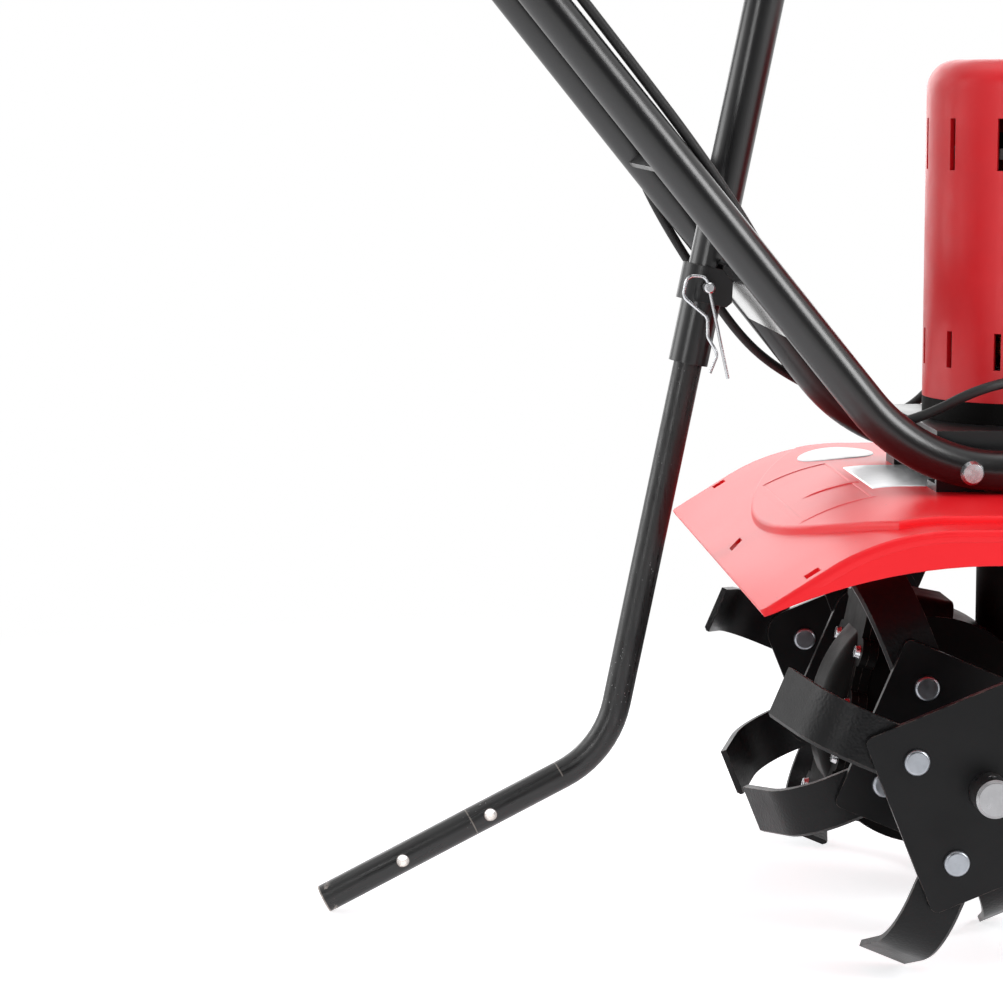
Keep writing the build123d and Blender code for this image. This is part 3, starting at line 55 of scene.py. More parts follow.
# ---------------------------------------------------------------- materials
class Tree:
    """A node tree that is put together from small steps."""

    def __init__(self, tree):
        self.tree = tree

    def node(self, kind, props=None, **values):
        """Add a node. Values go to its inputs, by name or, as i0, i1 and so on, by number."""
        made = self.tree.nodes.new(kind)
        for key, value in (props or {}).items():
            setattr(made, key, value)
        for key, value in values.items():
            numbered = key[0] == "i" and key[1:].isdigit()
            self.feed(made.inputs[int(key[1:]) if numbered else key.replace("_", " ")], value)
        return made

    def feed(self, socket, value):
        if isinstance(value, bpy.types.NodeSocket):
            self.tree.links.new(value, socket)
        else:
            socket.default_value = value

    def calc(self, op, a, b=0.0):
        return self.node("ShaderNodeMath", {"operation": op}, i0=a, i1=b).outputs[0]

    def times(self, a, b):
        return self.calc("MULTIPLY", a, b)

    def span(self, value, low, high, to_low=0.0, to_high=1.0):
        """Carry low..high over to to_low..to_high, softly at both ends."""
        made = self.node("ShaderNodeMapRange", {"interpolation_type": "SMOOTHSTEP"},
                         i0=value, i1=low, i2=high, i3=to_low, i4=to_high)
        return made.outputs[0]

    def rays(self):
        """Is it a camera ray, and is it any ray that shows the stage: camera, gloss or glass?"""
        ray = self.node("ShaderNodeLightPath").outputs
        shown = self.calc("MAXIMUM", ray["Is Camera Ray"], ray["Is Glossy Ray"])
        return ray["Is Camera Ray"], self.calc("MAXIMUM", shown, ray["Is Transmission Ray"])


class Look(Tree):
    """One procedural material."""

    def __init__(self, name):
        self.mat = bpy.data.materials.new(name)
        self.mat.use_nodes = True
        super().__init__(self.mat.node_tree)
        self.shader = self.tree.nodes["Principled BSDF"]
        self.at = self.node("ShaderNodeTexCoord").outputs["Object"]

    def set(self, **values):
        for key, value in values.items():
            self.feed(self.shader.inputs[key.replace("_", " ")], value)

    def noise(self, scale, detail=3.0, rough=0.55, at=None):
        made = self.node("ShaderNodeTexNoise", Vector=at or self.at, Scale=scale, Detail=detail, Roughness=rough)
        return made.outputs[0]

    def cells(self, scale, feature="F1"):
        return self.node("ShaderNodeTexVoronoi", {"feature": feature}, Vector=self.at, Scale=scale).outputs[0]

    def specks(self, scale, size, patches, low, high):
        """Small dots that come in patches."""
        dots = self.calc("LESS_THAN", self.cells(scale), size)
        return self.times(dots, self.span(self.noise(patches), low, high))

    def mix(self, part, a, b):
        made = self.node("ShaderNodeMix", {"data_type": "RGBA"}, i0=part, i6=a, i7=b)
        return made.outputs[2]

    def vector(self, op, a, b):
        return self.node("ShaderNodeVectorMath", {"operation": op}, i0=a, i1=b).outputs

    def along(self, start, direction):
        """Distance of a point along a direction from a start."""
        gap = self.vector("SUBTRACT", self.at, tuple(start))[0]
        return self.vector("DOT_PRODUCT", gap, tuple(direction))["Value"]

    def bump(self, height, depth, normal):
        made = self.node("ShaderNodeBump", Strength=1.0, Distance=depth, Height=height, Normal=normal)
        return made.outputs[0]

    def rounded(self, radius):
        """Normals as if the sharp edges had a small radius."""
        return self.node("ShaderNodeBevel", {"samples": 4}, Radius=radius).outputs[0]

    def edges(self, radius):
        """One along the sharp edges, zero on the faces."""
        face = self.node("ShaderNodeNewGeometry").outputs["Normal"]
        facing = self.vector("DOT_PRODUCT", self.rounded(radius), face)["Value"]
        return self.span(facing, 0.98, 0.84)


def rgba(colour, factor=1.0):
    return tuple(min(1.0, part * factor) for part in colour) + (1.0,)


def grey(value):
    return (value, value, value, 1.0)


def black_paint(name, value, rough, shine, grain, depth, patchy=0.05, specks=0.0, chips=0.0, peel=0.0,
                coat=0.0, tint=(1, 1, 1.08)):
    """Black paint with a fine grain and, where given, specks, chipped edges, a rippled skin or a clear coat."""
    k = Look(name)
    base = k.mix(k.noise(22.0, 4.0), rgba(tint, value * 0.7), rgba(tint, value * 1.35))
    gloss = k.span(k.noise(60.0, 5.0), 0.25, 0.75, rough - patchy, rough + patchy)
    height = k.noise(grain, 2.0)
    if peel:
        ripple = k.times(k.cells(650.0, "SMOOTH_F1"), k.span(k.noise(14.0), 0.35, 0.65, 0.15, peel))
        height = k.calc("ADD", k.times(height, 0.35), ripple)
    normal = k.bump(height, depth, k.rounded(0.0005))
    if specks:
        base = k.mix(k.times(k.specks(330.0, 0.13, 16.0, 0.52, 0.6), specks), base, grey(0.42))
    if chips:
        bare = k.times(k.edges(0.0006), k.span(k.noise(190.0, 5.0), 0.45, 0.6, 0.0, chips))
        base = k.mix(bare, base, (0.24, 0.19, 0.165, 1.0))
        gloss = k.calc("ADD", gloss, k.times(bare, 0.1))
    k.set(Base_Color=base, Roughness=gloss, Normal=normal, Specular_IOR_Level=shine,
          Coat_Weight=coat, Coat_Roughness=rough * 0.7, Coat_IOR=1.7)
    return k.mat


def metal(name, colour, rough, grain=900.0, depth=0.00001, vary=0.12):
    """Bare or plated metal with a light uneven tone."""
    k = Look(name)
    base = k.mix(k.noise(120.0, 5.0), rgba(colour, 1 - vary), rgba(colour, 1 + vary))
    gloss = k.span(k.noise(260.0, 4.0), 0.2, 0.8, rough - 0.07, rough + 0.09)
    normal = k.bump(k.noise(grain, 3.0), depth, k.rounded(0.0004))
    k.set(Base_Color=base, Roughness=gloss, Metallic=1.0, Normal=normal)
    return k.mat


def plastic(name, colour, rough, grain=1400.0, depth=0.00004, vary=0.1):
    """Moulded plastic or rubber with a fine grain."""
    k = Look(name)
    base = k.mix(k.noise(30.0, 4.0), rgba(colour, 1 - vary), rgba(colour, 1 + vary))
    gloss = k.span(k.noise(80.0, 4.0), 0.25, 0.75, rough - 0.05, rough + 0.06)
    normal = k.bump(k.noise(grain, 2.0), depth, k.rounded(0.0006))
    k.set(Base_Color=base, Roughness=gloss, Normal=normal)
    return k.mat


def stake_look():
    """Brushed-on black over a round bar, worn through at the holes, the end and two thin rings."""
    k = Look("stake_black")
    x, y, z = k.node("ShaderNodeSeparateXYZ", i0=k.at).outputs
    run = k.along(STAKE_END, LEG)
    side = k.along(STAKE_END, (-LEG.z, 0.0, LEG.x))

    # Brush strokes, along the leg and then upright past its bend
    long, fine = 40.0, 420.0
    on_leg = k.node("ShaderNodeCombineXYZ", i0=k.times(run, long), i1=k.times(y, fine), i2=k.times(side, fine))
    upright = k.vector("MULTIPLY", k.at, (fine, fine, long))
    brushed = k.mix(k.span(run, 0.165, 0.2), k.noise(1.0, 5.0, 0.6, on_leg.outputs[0]),
                    k.noise(1.0, 5.0, 0.6, upright[0]))
    gloss = k.span(brushed, 0.3, 0.7, 0.24, 0.44)
    height = k.calc("ADD", brushed, k.times(k.noise(900.0, 2.0), 0.3))

    # Bare steel at the end, with a ragged border, and in the holes
    ragged = k.times(k.span(run, 0.001, 0.009, 1.0, 0.0), k.span(k.noise(230.0, 5.0), 0.55, 0.62))
    bare = k.calc("MAXIMUM", k.span(run, 0.0004, 0.0012, 1.0, 0.0), ragged)
    for step in LEG_HOLES:
        hole = STAKE_END + LEG * step
        across = k.calc("POWER", k.calc("SUBTRACT", x, hole.x), 2.0)
        above = k.calc("POWER", k.calc("SUBTRACT", z, hole.z), 2.0)
        gap = k.calc("SQRT", k.calc("ADD", across, above))
        bare = k.calc("MAXIMUM", bare, k.span(gap, 0.0034, 0.0038, 1.0, 0.0))

    # Two thin rubbed rings, a little askew
    askew = k.calc("ADD", run, k.times(y, 0.12))
    rings = []
    for step in (0.0935, 0.1505):
        ring = k.span(k.calc("ABSOLUTE", k.calc("SUBTRACT", askew, step)), 0.00018, 0.0005, 0.75, 0.0)
        rings.append(k.times(ring, k.span(k.noise(160.0, 2.0), 0.35, 0.5)))

    base = k.mix(k.noise(40.0, 5.0), grey(0.011), grey(0.026))
    base = k.mix(k.specks(420.0, 0.12, 20.0, 0.54, 0.64), base, grey(0.4))
    base = k.mix(k.calc("MAXIMUM", *rings), base, (0.3, 0.27, 0.24, 1.0))
    base = k.mix(bare, base, (0.45, 0.4, 0.37, 1.0))
    k.set(Base_Color=base, Roughness=gloss, Metallic=k.times(bare, 0.85),
          Normal=k.bump(height, 0.00009, k.rounded(0.0006)))
    return k.mat


def shield_look():
    """Red moulded plastic with a fine satin skin and a few dark specks."""
    k = Look("shield_red")
    base = k.mix(k.noise(18.0, 4.0), (0.86, 0.005, 0.011, 1.0), (0.95, 0.008, 0.016, 1.0))
    dots = k.calc("LESS_THAN", k.cells(60.0), 0.03)
    base = k.mix(k.times(dots, 0.6), base, (0.3, 0.004, 0.01, 1.0))
    gloss = k.span(k.noise(7.0, 3.0, 0.5), 0.3, 0.75, 0.38, 0.42)
    normal = k.bump(k.noise(1300.0, 2.0), 0.00003, k.rounded(0.0012))
    k.set(Base_Color=base, Roughness=gloss, Normal=normal, Specular_IOR_Level=0.42)
    return k.mat


def striped(name, colour, rough, axis, pitch, depth):
    """Metal with fine even lines across an axis: laminations, windings, turned steel."""
    k = Look(name)
    line = k.node("ShaderNodeTexWave", {"wave_type": "BANDS", "bands_direction": axis}, Vector=k.at,
                  Scale=math.pi / (10.0 * pitch), Distortion=0.4, Detail=2.0, Detail_Scale=2.0).outputs[1]
    base = k.mix(k.times(line, 0.7), rgba(colour, 0.55), rgba(colour))
    gloss = k.span(k.noise(180.0, 4.0), 0.2, 0.8, rough - 0.06, rough + 0.08)
    k.set(Base_Color=base, Roughness=gloss, Metallic=1.0, Normal=k.bump(line, depth, k.rounded(0.0004)))
    return k.mat


tube = black_paint("tube_black", 0.0055, 0.29, 0.72, grain=700.0, depth=0.000004, patchy=0.012)
bracket = black_paint("bracket_black", 0.009, 0.34, 0.45, grain=1100.0, depth=0.00003, specks=0.2, chips=0.55)
cross_plate = black_paint("cross_plate_black", 0.009, 0.12, 1.0, grain=1100.0, depth=0.000002, patchy=0.01,
                          chips=0.4, coat=1.0)
tine = black_paint("tine_black", 0.006, 0.38, 0.22, grain=900.0, depth=0.0002, chips=0.8, peel=1.0)
hub = black_paint("hub_black", 0.005, 0.38, 0.22, grain=900.0, depth=0.00003, chips=0.7)
case = black_paint("case_black", 0.004, 0.48, 0.05, grain=700.0, depth=0.00008, chips=0.45, tint=(1.12, 1.0, 0.96))
zinc = metal("zinc_bright", (0.66, 0.67, 0.69), 0.25, grain=2200.0, depth=0.000006, vary=0.07)
zinc_dull = metal("zinc_grey", (0.36, 0.38, 0.41), 0.36, grain=600.0, depth=0.00003, vary=0.25)
steel = striped("steel_turned", (0.5, 0.5, 0.51), 0.3, "Y", pitch=0.0006, depth=0.000006)
bronze = metal("bronze", (0.5, 0.3, 0.12), 0.32)
lamination = striped("core_laminations", (0.3, 0.3, 0.31), 0.4, "Z", pitch=0.0007, depth=0.00004)
copper = striped("copper_winding", (0.5, 0.19, 0.07), 0.33, "Z", pitch=0.0012, depth=0.00025)
black_plastic = plastic("plastic_black", (0.014, 0.014, 0.015), 0.42)
motor_red = plastic("plastic_red", (0.74, 0.009, 0.016), 0.36, grain=1300.0, depth=0.00003)
rubber = plastic("rubber_black", (0.011, 0.011, 0.011), 0.58, grain=900.0, depth=0.00008)
button = plastic("button_red", (0.7, 0.012, 0.014), 0.3)
stake = stake_look()
shield = shield_look()

LOOKS = {
    tube: ["upper_handle_left", "upper_handle_right", "lower_handle_left", "lower_handle_right",
           "handle_crossbar", "guide_tube"],
    bracket: ["upper_brace", "handle_bracket", "stake_strap"],
    cross_plate: ["cross_bracket"],
    stake: ["depth_stake"],
    zinc: ["hitch_pin", "r_clip", "cover_screws", "handle_bolts", "handle_nuts", "motor_screws",
           "shield_screws", "hub_pins"],
    zinc_dull: ["tine_bolts", "tine_nuts"],
    shield: ["shield"],
    tine: ["tine_blades_outer_right", "tine_blades_inner_right", "tine_blades_outer_left",
           "tine_blades_inner_left"],
    hub: ["tine_hub_outer_right", "tine_hub_inner_right", "tine_hub_outer_left", "tine_hub_inner_left"],
    case: ["gear_case", "gear_cover", "motor_bell"],
    steel: ["tine_shaft", "armature_shaft", "shaft_bearings", "motor_bearings", "lever_pins"],
    bronze: ["worm_wheel"],
    lamination: ["rotor_core", "stator_core"],
    copper: ["field_coils", "commutator"],
    motor_red: ["motor_cover"],
    button: ["lock_button"],
    rubber: ["grip_left", "grip_right", "lead_left", "lead_right", "shaft_seals", "cable_glands"],
    black_plastic: ["switch_box_left", "switch_box_right", "lever_left", "lever_right", "mains_inlet", "guide_cap",
                    "lead_clips", "brush_plate", "fan"],
}
for look, names in LOOKS.items():
    for name in names:
        nodes[name].data.materials.clear()
        nodes[name].data.materials.append(look)


# ------------------------------------------------------------------ pieces
SHARP = math.radians(40)


def piece(name, verts, faces, look, body, smooth=True):
    """A closed mesh that rides on a body."""
    mesh = bpy.data.meshes.new(name)
    mesh.from_pydata(verts, [], faces)
    shell = bmesh.new()
    shell.from_mesh(mesh)
    bmesh.ops.recalc_face_normals(shell, faces=shell.faces)
    shell.to_mesh(mesh)
    shell.free()
    if smooth:
        mesh.shade_smooth()
        mesh.set_sharp_from_angle(angle=SHARP)
    ob = bpy.data.objects.new(name, mesh)
    bpy.context.collection.objects.link(ob)
    mesh.materials.append(look)
    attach(ob, body)
    return ob


# Thin forms on the shield. UNDER and FOOT are depths below its skin, and rays to the skin start at RAY_START
UNDER, FOOT = -0.0002, -0.0008
RAY_START = 0.4
skin = BVHTree.FromObject(nodes["shield"], bpy.context.evaluated_depsgraph_get())


def on_skin(start, ray, lift):
    spot, normal, _, _ = skin.ray_cast(Vector(start), Vector(ray))
    return tuple(spot + normal * lift)


def on_top(x, y, lift):
    """A place on the shield seen from above."""
    return on_skin((x, y, RAY_START), (0, 0, -1), lift)


def on_skirt(side):
    """Places on one skirt: run along the skin's edge from its middle, and drop below that edge."""
    def place(run, drop, lift):
        bend = min(max(0.0, abs(run) - SKIN_FLAT) / SKIN_R, SKIN_SLOPE)
        past = max(0.0, abs(run) - SKIN_FLAT - SKIN_R * SKIN_SLOPE)
        reach = min(abs(run), SKIN_FLAT) + (SKIN_R - drop) * math.sin(bend) + past * math.cos(bend)
        x = SKIN_MID + math.copysign(reach, run)
        z = SKIN_TOP - SKIN_R + (SKIN_R - drop) * math.cos(bend) - past * math.sin(bend)
        return on_skin((x, side * RAY_START, z), (0, -side, 0), lift)
    return place


def laid(name, spots, faces, look, on=on_top):
    """A thin closed form on the shield, its foot inside the shield's wall."""
    count = len(spots)
    verts = [on(a, b, lift) for a, b, lift in spots] + [on(a, b, FOOT) for a, b, _ in spots]
    edges = {edge for face in faces for edge in zip(face, face[1:] + face[:1])}
    walls = [(b, a, a + count, b + count) for a, b in edges if (b, a) not in edges]
    under = [tuple(v + count for v in reversed(face)) for face in faces]
    piece(name, verts, faces + under + sorted(walls), look, "frame")


def moulded(name, xs, ys, lift, look, on=on_top):
    """A low form on the shield over a grid of places, its border just under the skin."""
    grid = [(x, y, lift(x, y)) for x in xs for y in ys]
    faces = []
    for i in range(len(xs) - 1):
        for j in range(len(ys) - 1):
            a = i * len(ys) + j
            face = (a, a + len(ys), a + len(ys) + 1, a + 1)
            if any(grid[v][2] > UNDER for v in face):
                faces.append(face)
    used = sorted({v for face in faces for v in face})
    place = {v: i for i, v in enumerate(used)}
    laid(name, [grid[v] for v in used], [tuple(place[v] for v in face) for face in faces], look, on)


def ramp(value, low, high):
    """Zero up to low, one from high on, and a smooth step between them."""
    t = min(1.0, max(0.0, (value - low) / (high - low)))
    return t * t * (3 - 2 * t)


def between(low, high, count):
    return [low + (high - low) * i / count for i in range(1, count)]


def spaced(low, high, rim, count):
    """Places from low to high, close together in a rim at both ends."""
    ends = [rim * i / 4 for i in range(4)]
    inner = [low + rim + (high - low - 2 * rim) * i / count for i in range(count + 1)]
    return [low + e for e in ends] + inner + [high - e for e in reversed(ends)]


# Bare plates on the deck: both lie PLATE_LIFT high
PLATE_LIFT, PLATE_EDGE = 0.0006, 0.0008
PLATE_BACK, PLATE_FRONT, PLATE_HALF = AXLE.x - 0.037, AXLE.x + 0.019, 0.050
OVAL_X, OVAL_Y, OVAL_HALF_X, OVAL_HALF_Y = AXLE.x - 0.030, 0.120, 0.0225, 0.029
# Rings of the oval, as a part of its size and a height: flat, then a rounded rim
OVAL_RINGS = [(r / 8, PLATE_LIFT) for r in range(1, 8)] + [(0.985, 0.00045), (1.0, 0.0)]
OVAL_SEGS = 72


def oval_plate(look):
    spots = [(OVAL_X, OVAL_Y, PLATE_LIFT)]
    for size, lift in OVAL_RINGS:
        for s in range(OVAL_SEGS):
            a = 2 * math.pi * s / OVAL_SEGS
            spots.append((OVAL_X + OVAL_HALF_X * size * math.cos(a), OVAL_Y + OVAL_HALF_Y * size * math.sin(a), lift))
    faces = [(0, 1 + s, 1 + (s + 1) % OVAL_SEGS) for s in range(OVAL_SEGS)]
    for r in range(len(OVAL_RINGS) - 1):
        for s in range(OVAL_SEGS):
            a, b = 1 + r * OVAL_SEGS + s, 1 + r * OVAL_SEGS + (s + 1) % OVAL_SEGS
            faces.append((a, a + OVAL_SEGS, b + OVAL_SEGS, b))
    laid("oval_plate", spots, faces, look)


def plate_lift(x, y):
    inside = min(x - PLATE_BACK, PLATE_FRONT - x, PLATE_HALF - abs(y))
    return UNDER + (PLATE_LIFT - UNDER) * ramp(inside, 0.0, PLATE_EDGE)


# The deck's sunk panel: its back, front and half width, and the rim that lies round it, narrower at the sides
PANEL_BACK, PANEL_FRONT, PANEL_HALF = AXLE.x - 0.078, AXLE.x - 0.043, 0.079
PANEL_RIM, PANEL_RISE, PANEL_SIDE = 0.0055, 0.00055, 1.6
# The tongue on the panel, which rises slowly from its back
TONGUE_BACK, TONGUE_FRONT, TONGUE_Y, TONGUE_HALF = AXLE.x - 0.0745, AXLE.x - 0.0378, -0.012, 0.006
TONGUE_RISE, TONGUE_EDGE, TONGUE_RAMP = 0.00075, 0.0016, 0.011


def panel_lift(x, y):
    """A rim that drops steeply into the panel and runs out softly on the deck."""
    out = max(PANEL_BACK - x, x - PANEL_FRONT, (abs(y) - PANEL_HALF) * PANEL_SIDE)
    if out <= 0:
        return UNDER
    return UNDER + PANEL_RISE * ramp(out, 0.0, 0.0008) * (1 - ramp(out, 0.0012, PANEL_RIM))


def rimmed(low, high, count):
    """Places from outside low to outside high, close together where the panel's rim drops."""
    steps = [PANEL_RIM, 0.0046, 0.0037, 0.0028, 0.002, 0.0014, 0.001, 0.0007, 0.0004, 0.0002, 0.0]
    return [low - e for e in steps] + between(low, high, count) + [high + e for e in reversed(steps)]


def tongue_lift(x, y):
    inside = min(TONGUE_HALF - abs(y - TONGUE_Y), TONGUE_FRONT - x)
    slow = ramp(x, TONGUE_BACK, TONGUE_BACK + TONGUE_RAMP)
    return UNDER + TONGUE_RISE * ramp(inside, 0.0, TONGUE_EDGE) * slow


# The band on both skirts: how far it runs from the middle, its fading ends, its rise, and its upper and lower line
BAND_RUN, BAND_FADE, BAND_RISE = 0.108, 0.02, 0.00060
BAND_DROPS = [0.0014, 0.0018, 0.0022, 0.0026, 0.0030, 0.0036, 0.0041, 0.0047, 0.0053, 0.0060, 0.00613, 0.00627, 0.0064]
BAND_TOP, BAND_FULL, BAND_LINE, BAND_END = 0.0014, 0.0030, 0.0060, 0.0064
BAND_THINNER = 0.45


def band_lift(run, drop):
    """A low band under the skin's edge, thinner towards its lower line, that runs out softly at its ends."""
    step = ramp(drop, BAND_TOP, BAND_FULL) * (1 - BAND_THINNER * ramp(drop, BAND_FULL, BAND_LINE))
    step *= 1 - ramp(drop, BAND_LINE, BAND_END)
    return UNDER + BAND_RISE * step * (1 - ramp(abs(run), BAND_RUN - BAND_FADE, BAND_RUN))


pale_plate = plastic("plate_pale", (0.82, 0.82, 0.83), 0.35, grain=500.0, depth=0.00001, vary=0.03)
bare_plate = metal("plate_bare", (0.76, 0.77, 0.78), 0.38, grain=300.0, depth=0.00001, vary=0.06)
oval_plate(pale_plate)
moulded("flat_plate", spaced(PLATE_BACK, PLATE_FRONT, 0.001, 22), spaced(-PLATE_HALF, PLATE_HALF, 0.001, 30),
        plate_lift, bare_plate)
moulded("deck_panel", rimmed(PANEL_BACK, PANEL_FRONT, 20), rimmed(-PANEL_HALF, PANEL_HALF, 60),
        panel_lift, shield)
moulded("deck_tongue", spaced(TONGUE_BACK, TONGUE_FRONT, 0.0018, 30),
        spaced(TONGUE_Y - TONGUE_HALF, TONGUE_Y + TONGUE_HALF, 0.0018, 8), tongue_lift, shield)
band_runs = spaced(-BAND_RUN, BAND_RUN, 0.004, 60)
moulded("skirt_band_right", band_runs, BAND_DROPS, band_lift, shield, on_skirt(-1))
moulded("skirt_band_left", band_runs, BAND_DROPS, band_lift, shield, on_skirt(1))

# Leads as smooth lines guided by the points of their routes
LEAD_RADIUS = 0.00275
ROUTES = {
    "lead_right": [
        (-0.1971, -0.2193, 0.7996), (-0.1661, -0.2161, 0.7885), (-0.1462, -0.2012, 0.7668), (-0.0197, -0.1061, 0.6284),
        (0.0043, -0.0880, 0.6021), (0.0292, -0.0880, 0.5708), (0.1156, -0.0880, 0.4617), (0.1485, -0.0819, 0.4188),
        (0.1742, -0.0765, 0.3805), (0.1994, -0.0730, 0.3340), (0.2227, -0.0688, 0.2947), (0.2469, -0.0740, 0.2805),
        (0.2694, -0.0750, 0.2871), (0.2908, -0.0893, 0.3011), (0.3188, -0.0773, 0.3060), (0.3250, -0.0541, 0.3060)],
    "lead_left": [
        (-0.1971, 0.2193, 0.7996), (-0.1661, 0.2161, 0.7885), (-0.1462, 0.2012, 0.7668), (-0.0197, 0.1061, 0.6284),
        (0.0043, 0.0880, 0.6021), (0.0292, 0.0880, 0.5708), (0.0939, 0.0880, 0.4891), (0.1155, 0.0988, 0.4552),
        (0.1234, 0.1033, 0.4281), (0.1337, 0.1007, 0.4018), (0.1493, 0.0932, 0.3732), (0.1724, 0.0900, 0.3379),
        (0.1907, 0.0910, 0.3141), (0.2095, 0.0960, 0.2984), (0.2340, 0.1033, 0.2848), (0.2655, 0.1033, 0.2675),
        (0.2887, 0.1066, 0.2702), (0.3063, 0.0989, 0.2892), (0.3188, 0.0773, 0.3060), (0.3250, 0.0541, 0.3060)],
}
for node, route in ROUTES.items():
    data = bpy.data.curves.new(node + "_line", "CURVE")
    data.dimensions = "3D"
    line = data.splines.new("NURBS")
    line.points.add(len(route) - 1)
    for spot, point in zip(route, line.points):
        point.co = (*spot, 1.0)
    line.order_u = 3
    line.use_endpoint_u = True
    data.resolution_u = 10
    data.bevel_depth = LEAD_RADIUS
    data.bevel_resolution = 3
    data.use_fill_caps = True
    data.materials.append(rubber)
    ob = bpy.data.objects.new(node + "_line", data)
    bpy.context.collection.objects.link(ob)
    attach(ob, "frame")
    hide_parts(node)

# The grips' outline as places along the axis and radii: blind bore, collar, ribs and domed end
GRIP_BORE = [(0.11, 0.0112), (0.0, 0.0112)]
GRIP_COLLAR = [(0.0, 0.0152), (0.0008, 0.016), (0.0036, 0.016), (0.0046, 0.0152), (0.0054, 0.0143)]
GRIP_RIB = [(0.0, 0.0143), (0.0008, 0.0152), (0.0026, 0.0152), (0.0034, 0.0143)]
GRIP_DOME = [(0.1046, 0.0143), (0.1056, 0.0156), (0.1075, 0.016), (0.11, 0.016), (0.1122, 0.0154),
             (0.1134, 0.014), (0.1139, 0.011), (0.114, 0.006)]
RIB_START, RIB_PITCH, RIB_COUNT = 0.0085, 0.0072, 13
GRIP_SEGS = 48


def grip_sleeve(side):
    """Ribbed rubber sleeve with a collar at the housing and a domed end."""
    start = Vector((-0.29099, side * 0.23782, 0.81694))
    axis = Vector((-0.924, side * 0.1825, 0.3355)).normalized()
    across = axis.cross(Vector((0, 0, 1))).normalized()
    upright = across.cross(axis)
    ribs = [(RIB_START + RIB_PITCH * i + at, r) for i in range(RIB_COUNT) for at, r in GRIP_RIB]
    outline = GRIP_BORE + GRIP_COLLAR + ribs + GRIP_DOME
    verts, faces = [], []
    for at, r in outline:
        for s in range(GRIP_SEGS):
            a = 2 * math.pi * s / GRIP_SEGS
            verts.append(tuple(start + axis * at + across * (r * math.cos(a)) + upright * (r * math.sin(a))))
    for i in range(len(outline) - 1):
        for s in range(GRIP_SEGS):
            a, b = i * GRIP_SEGS + s, i * GRIP_SEGS + (s + 1) % GRIP_SEGS
            faces.append((a, b, b + GRIP_SEGS, a + GRIP_SEGS))
    faces += [tuple(range(GRIP_SEGS)), tuple(range(len(verts) - GRIP_SEGS, len(verts)))]
    name = "grip_right" if side < 0 else "grip_left"
    ob = piece(name + "_sleeve", verts, faces, rubber, "frame")
    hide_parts(name)


grip_sleeve(-1)
grip_sleeve(1)

# Cross recesses of the cover screws, each at its own turn, a hair above the screw heads. They are dark crosses, and
# their colour is painted shade for the shaded hollows of the recesses
CASE_BACK, FLANGE, HEAD, HAIR = 0.044, 0.004, 0.0028, 0.00006
SCREWS_UP, SCREWS_SIDE = (0.066, 0.036, 0.006, -0.024, -0.054), 0.033
ARM, REACH, RECESS_DEPTH = 0.0005, 0.0019, 0.0008
CROSS = ((ARM, ARM), (ARM, REACH), (-ARM, REACH), (-ARM, ARM), (-REACH, ARM), (-REACH, -ARM),
         (-ARM, -ARM), (-ARM, -REACH), (ARM, -REACH), (ARM, -ARM), (REACH, -ARM), (REACH, ARM))


def screw_recesses():
    out = Vector((-math.cos(LEAN), 0, math.sin(LEAN)))
    up = Vector((math.sin(LEAN), 0, math.cos(LEAN)))
    across = Vector((0, 1, 0))
    corners = len(CROSS)
    verts, faces = [], []
    for i, height in enumerate(SCREWS_UP):
        for y in (SCREWS_SIDE, -SCREWS_SIDE):
            centre = AXLE + out * (CASE_BACK + FLANGE + HEAD + HAIR) + up * height + across * y
            turn = 0.7 * i + 11 * y
            u = up * math.cos(turn) + across * math.sin(turn)
            v = across * math.cos(turn) - up * math.sin(turn)
            first = len(verts)
            for depth in (0.0, RECESS_DEPTH):
                verts += [tuple(centre - out * depth + u * a + v * b) for a, b in CROSS]
            faces += [tuple(range(n, n + corners)) for n in (first, first + corners)]
            for e in range(corners):
                a, b = first + e, first + (e + 1) % corners
                faces.append((a, b, b + corners, a + corners))
    # The dark colour here is painted shade: it stands in for the shade inside the recesses
    recess = metal("recess_painted_shade", (0.08, 0.08, 0.085), 0.5)
    piece("screw_recesses", verts, faces, recess, "frame", smooth=False)


screw_recesses()

# ------------------------------------------------------------------- stage
# Soft even light, and white for the camera. In gloss the side of the camera is dark and the far side white
world = bpy.data.worlds.new("studio")
bpy.context.scene.world = world
world.use_nodes = True
world.node_tree.nodes.clear()
sky = Tree(world.node_tree)
to_camera, shows = sky.rays()
direction = sky.node("ShaderNodeSeparateXYZ", i0=sky.node("ShaderNodeTexCoord").outputs["Generated"])
far_side = sky.span(direction.outputs[1], -0.8, 0.1, 0.05, 1.0)
soft = sky.node("ShaderNodeBackground", i0=(0.97, 0.98, 1.0, 1.0), i1=0.42)
plain = sky.node("ShaderNodeBackground", i0=WHITE, i1=sky.calc("MAXIMUM", far_side, to_camera))
either = sky.node("ShaderNodeMixShader", i0=shows, i1=soft.outputs[0], i2=plain.outputs[0])
sky.node("ShaderNodeOutputWorld", i0=either.outputs[0])

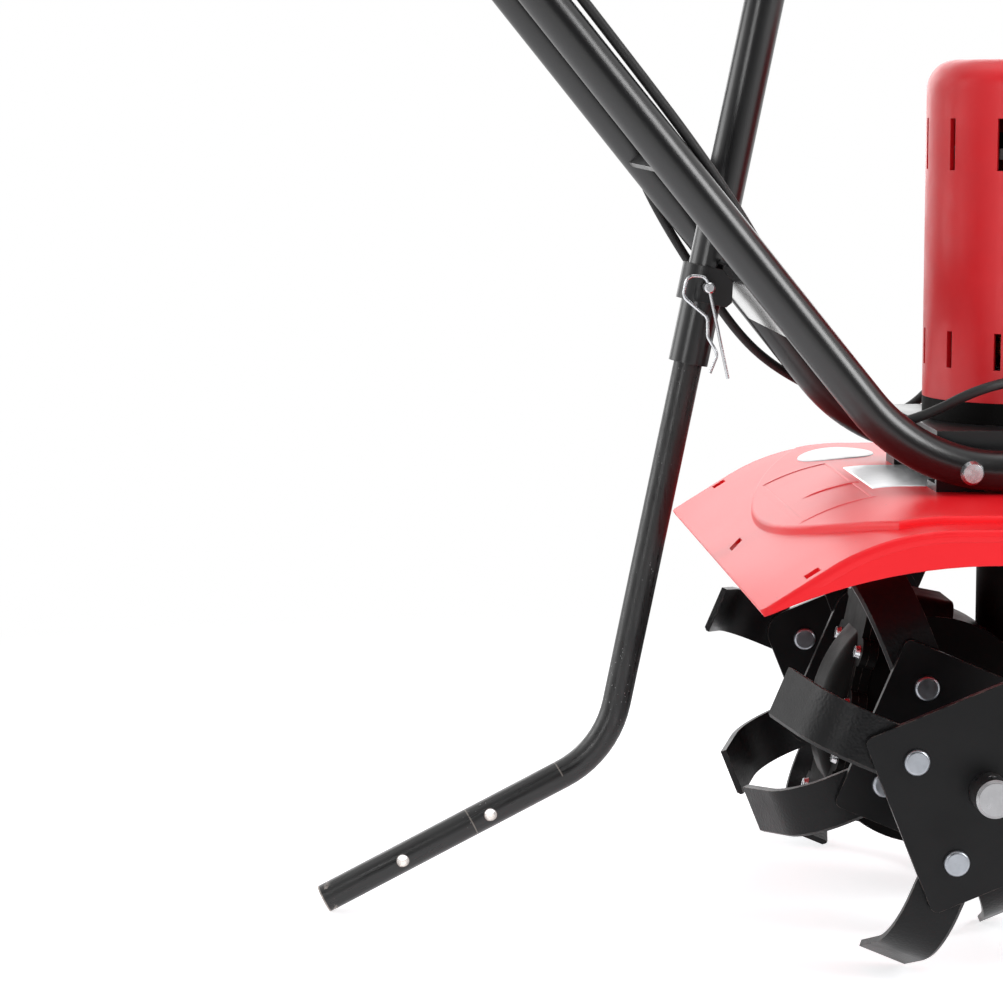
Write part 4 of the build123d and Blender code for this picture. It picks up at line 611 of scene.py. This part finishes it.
# Pale floor that keeps the shadow near the part and goes over to white away from it
FLOOR_CENTRE, FLOOR_NEAR, FLOOR_FAR, FLOOR_GLOW = (0.1, -0.1, 0.0), 0.55, 1.15, 0.6
mesh = bpy.data.meshes.new("floor")
mesh.from_pydata([(-30, -6, 0), (30, -6, 0), (30, 40, 0), (-30, 40, 0)], [], [(0, 1, 2, 3)])
floor = bpy.data.objects.new("floor", mesh)
bpy.context.collection.objects.link(floor)
paint = bpy.data.materials.new("floor_white")
paint.use_nodes = True
paint.node_tree.nodes.clear()
ground = Tree(paint.node_tree)
_, shows = ground.rays()
away = ground.node("ShaderNodeVectorMath", {"operation": "DISTANCE"},
                   i0=ground.node("ShaderNodeTexCoord").outputs["Object"], i1=FLOOR_CENTRE)
white = ground.times(shows, ground.span(away.outputs["Value"], FLOOR_NEAR, FLOOR_FAR))
matt = ground.node("ShaderNodeBsdfDiffuse", i0=(0.86, 0.86, 0.88, 1.0))
glow = ground.node("ShaderNodeEmission", i0=WHITE, i1=ground.times(shows, FLOOR_GLOW))
lit = ground.node("ShaderNodeAddShader", i0=matt.outputs[0], i1=glow.outputs[0])
bright = ground.node("ShaderNodeEmission", i0=WHITE, i1=1.0)
both = ground.node("ShaderNodeMixShader", i0=white, i1=lit.outputs[0], i2=bright.outputs[0])
ground.node("ShaderNodeOutputMaterial", i0=both.outputs[0])
mesh.materials.append(paint)


def softbox(name, at, to, wide, high, radiance):
    data = bpy.data.lights.new(name, "AREA")
    data.shape = "RECTANGLE"
    data.size, data.size_y = wide, high
    data.energy = radiance * math.pi * wide * high
    ob = bpy.data.objects.new(name, data)
    ob.location = at
    ob.rotation_euler = (Vector(to) - Vector(at)).to_track_quat("-Z", "Y").to_euler()
    ob.visible_camera = False
    bpy.context.collection.objects.link(ob)


softbox("box_right", at=(1.66, -1.14, 1.15), to=(0.15, 0, 0.35), wide=0.8, high=0.9, radiance=10.0)
softbox("box_left", at=(-1.5, -2.2, 1.0), to=(0.0, 0, 0.35), wide=0.5, high=1.5, radiance=6.0)
softbox("box_rim", at=(-2.0, 0.7, 0.9), to=(0.1, 0, 0.35), wide=1.2, high=1.5, radiance=2.6)
softbox("box_back", at=(0.2, 2.4, 1.0), to=(0.2, 0, 0.25), wide=3.2, high=1.4, radiance=1.6)
softbox("box_top", at=(0.1, 0.1, 2.3), to=(0.1, 0, 0.2), wide=1.6, high=1.6, radiance=1.0)

lens = bpy.data.cameras.new("camera")
lens.lens = 117.4
lens.sensor_width = 36.0
lens.clip_end = 100.0
camera = bpy.data.objects.new("camera", lens)
camera.location = (-0.0616, -1.8042, 0.4567)
camera.rotation_euler = (math.radians(82.914), 0.0, math.radians(-3.326))
bpy.context.collection.objects.link(camera)
bpy.context.scene.camera = camera
bpy.context.scene.view_settings.view_transform = "Standard"
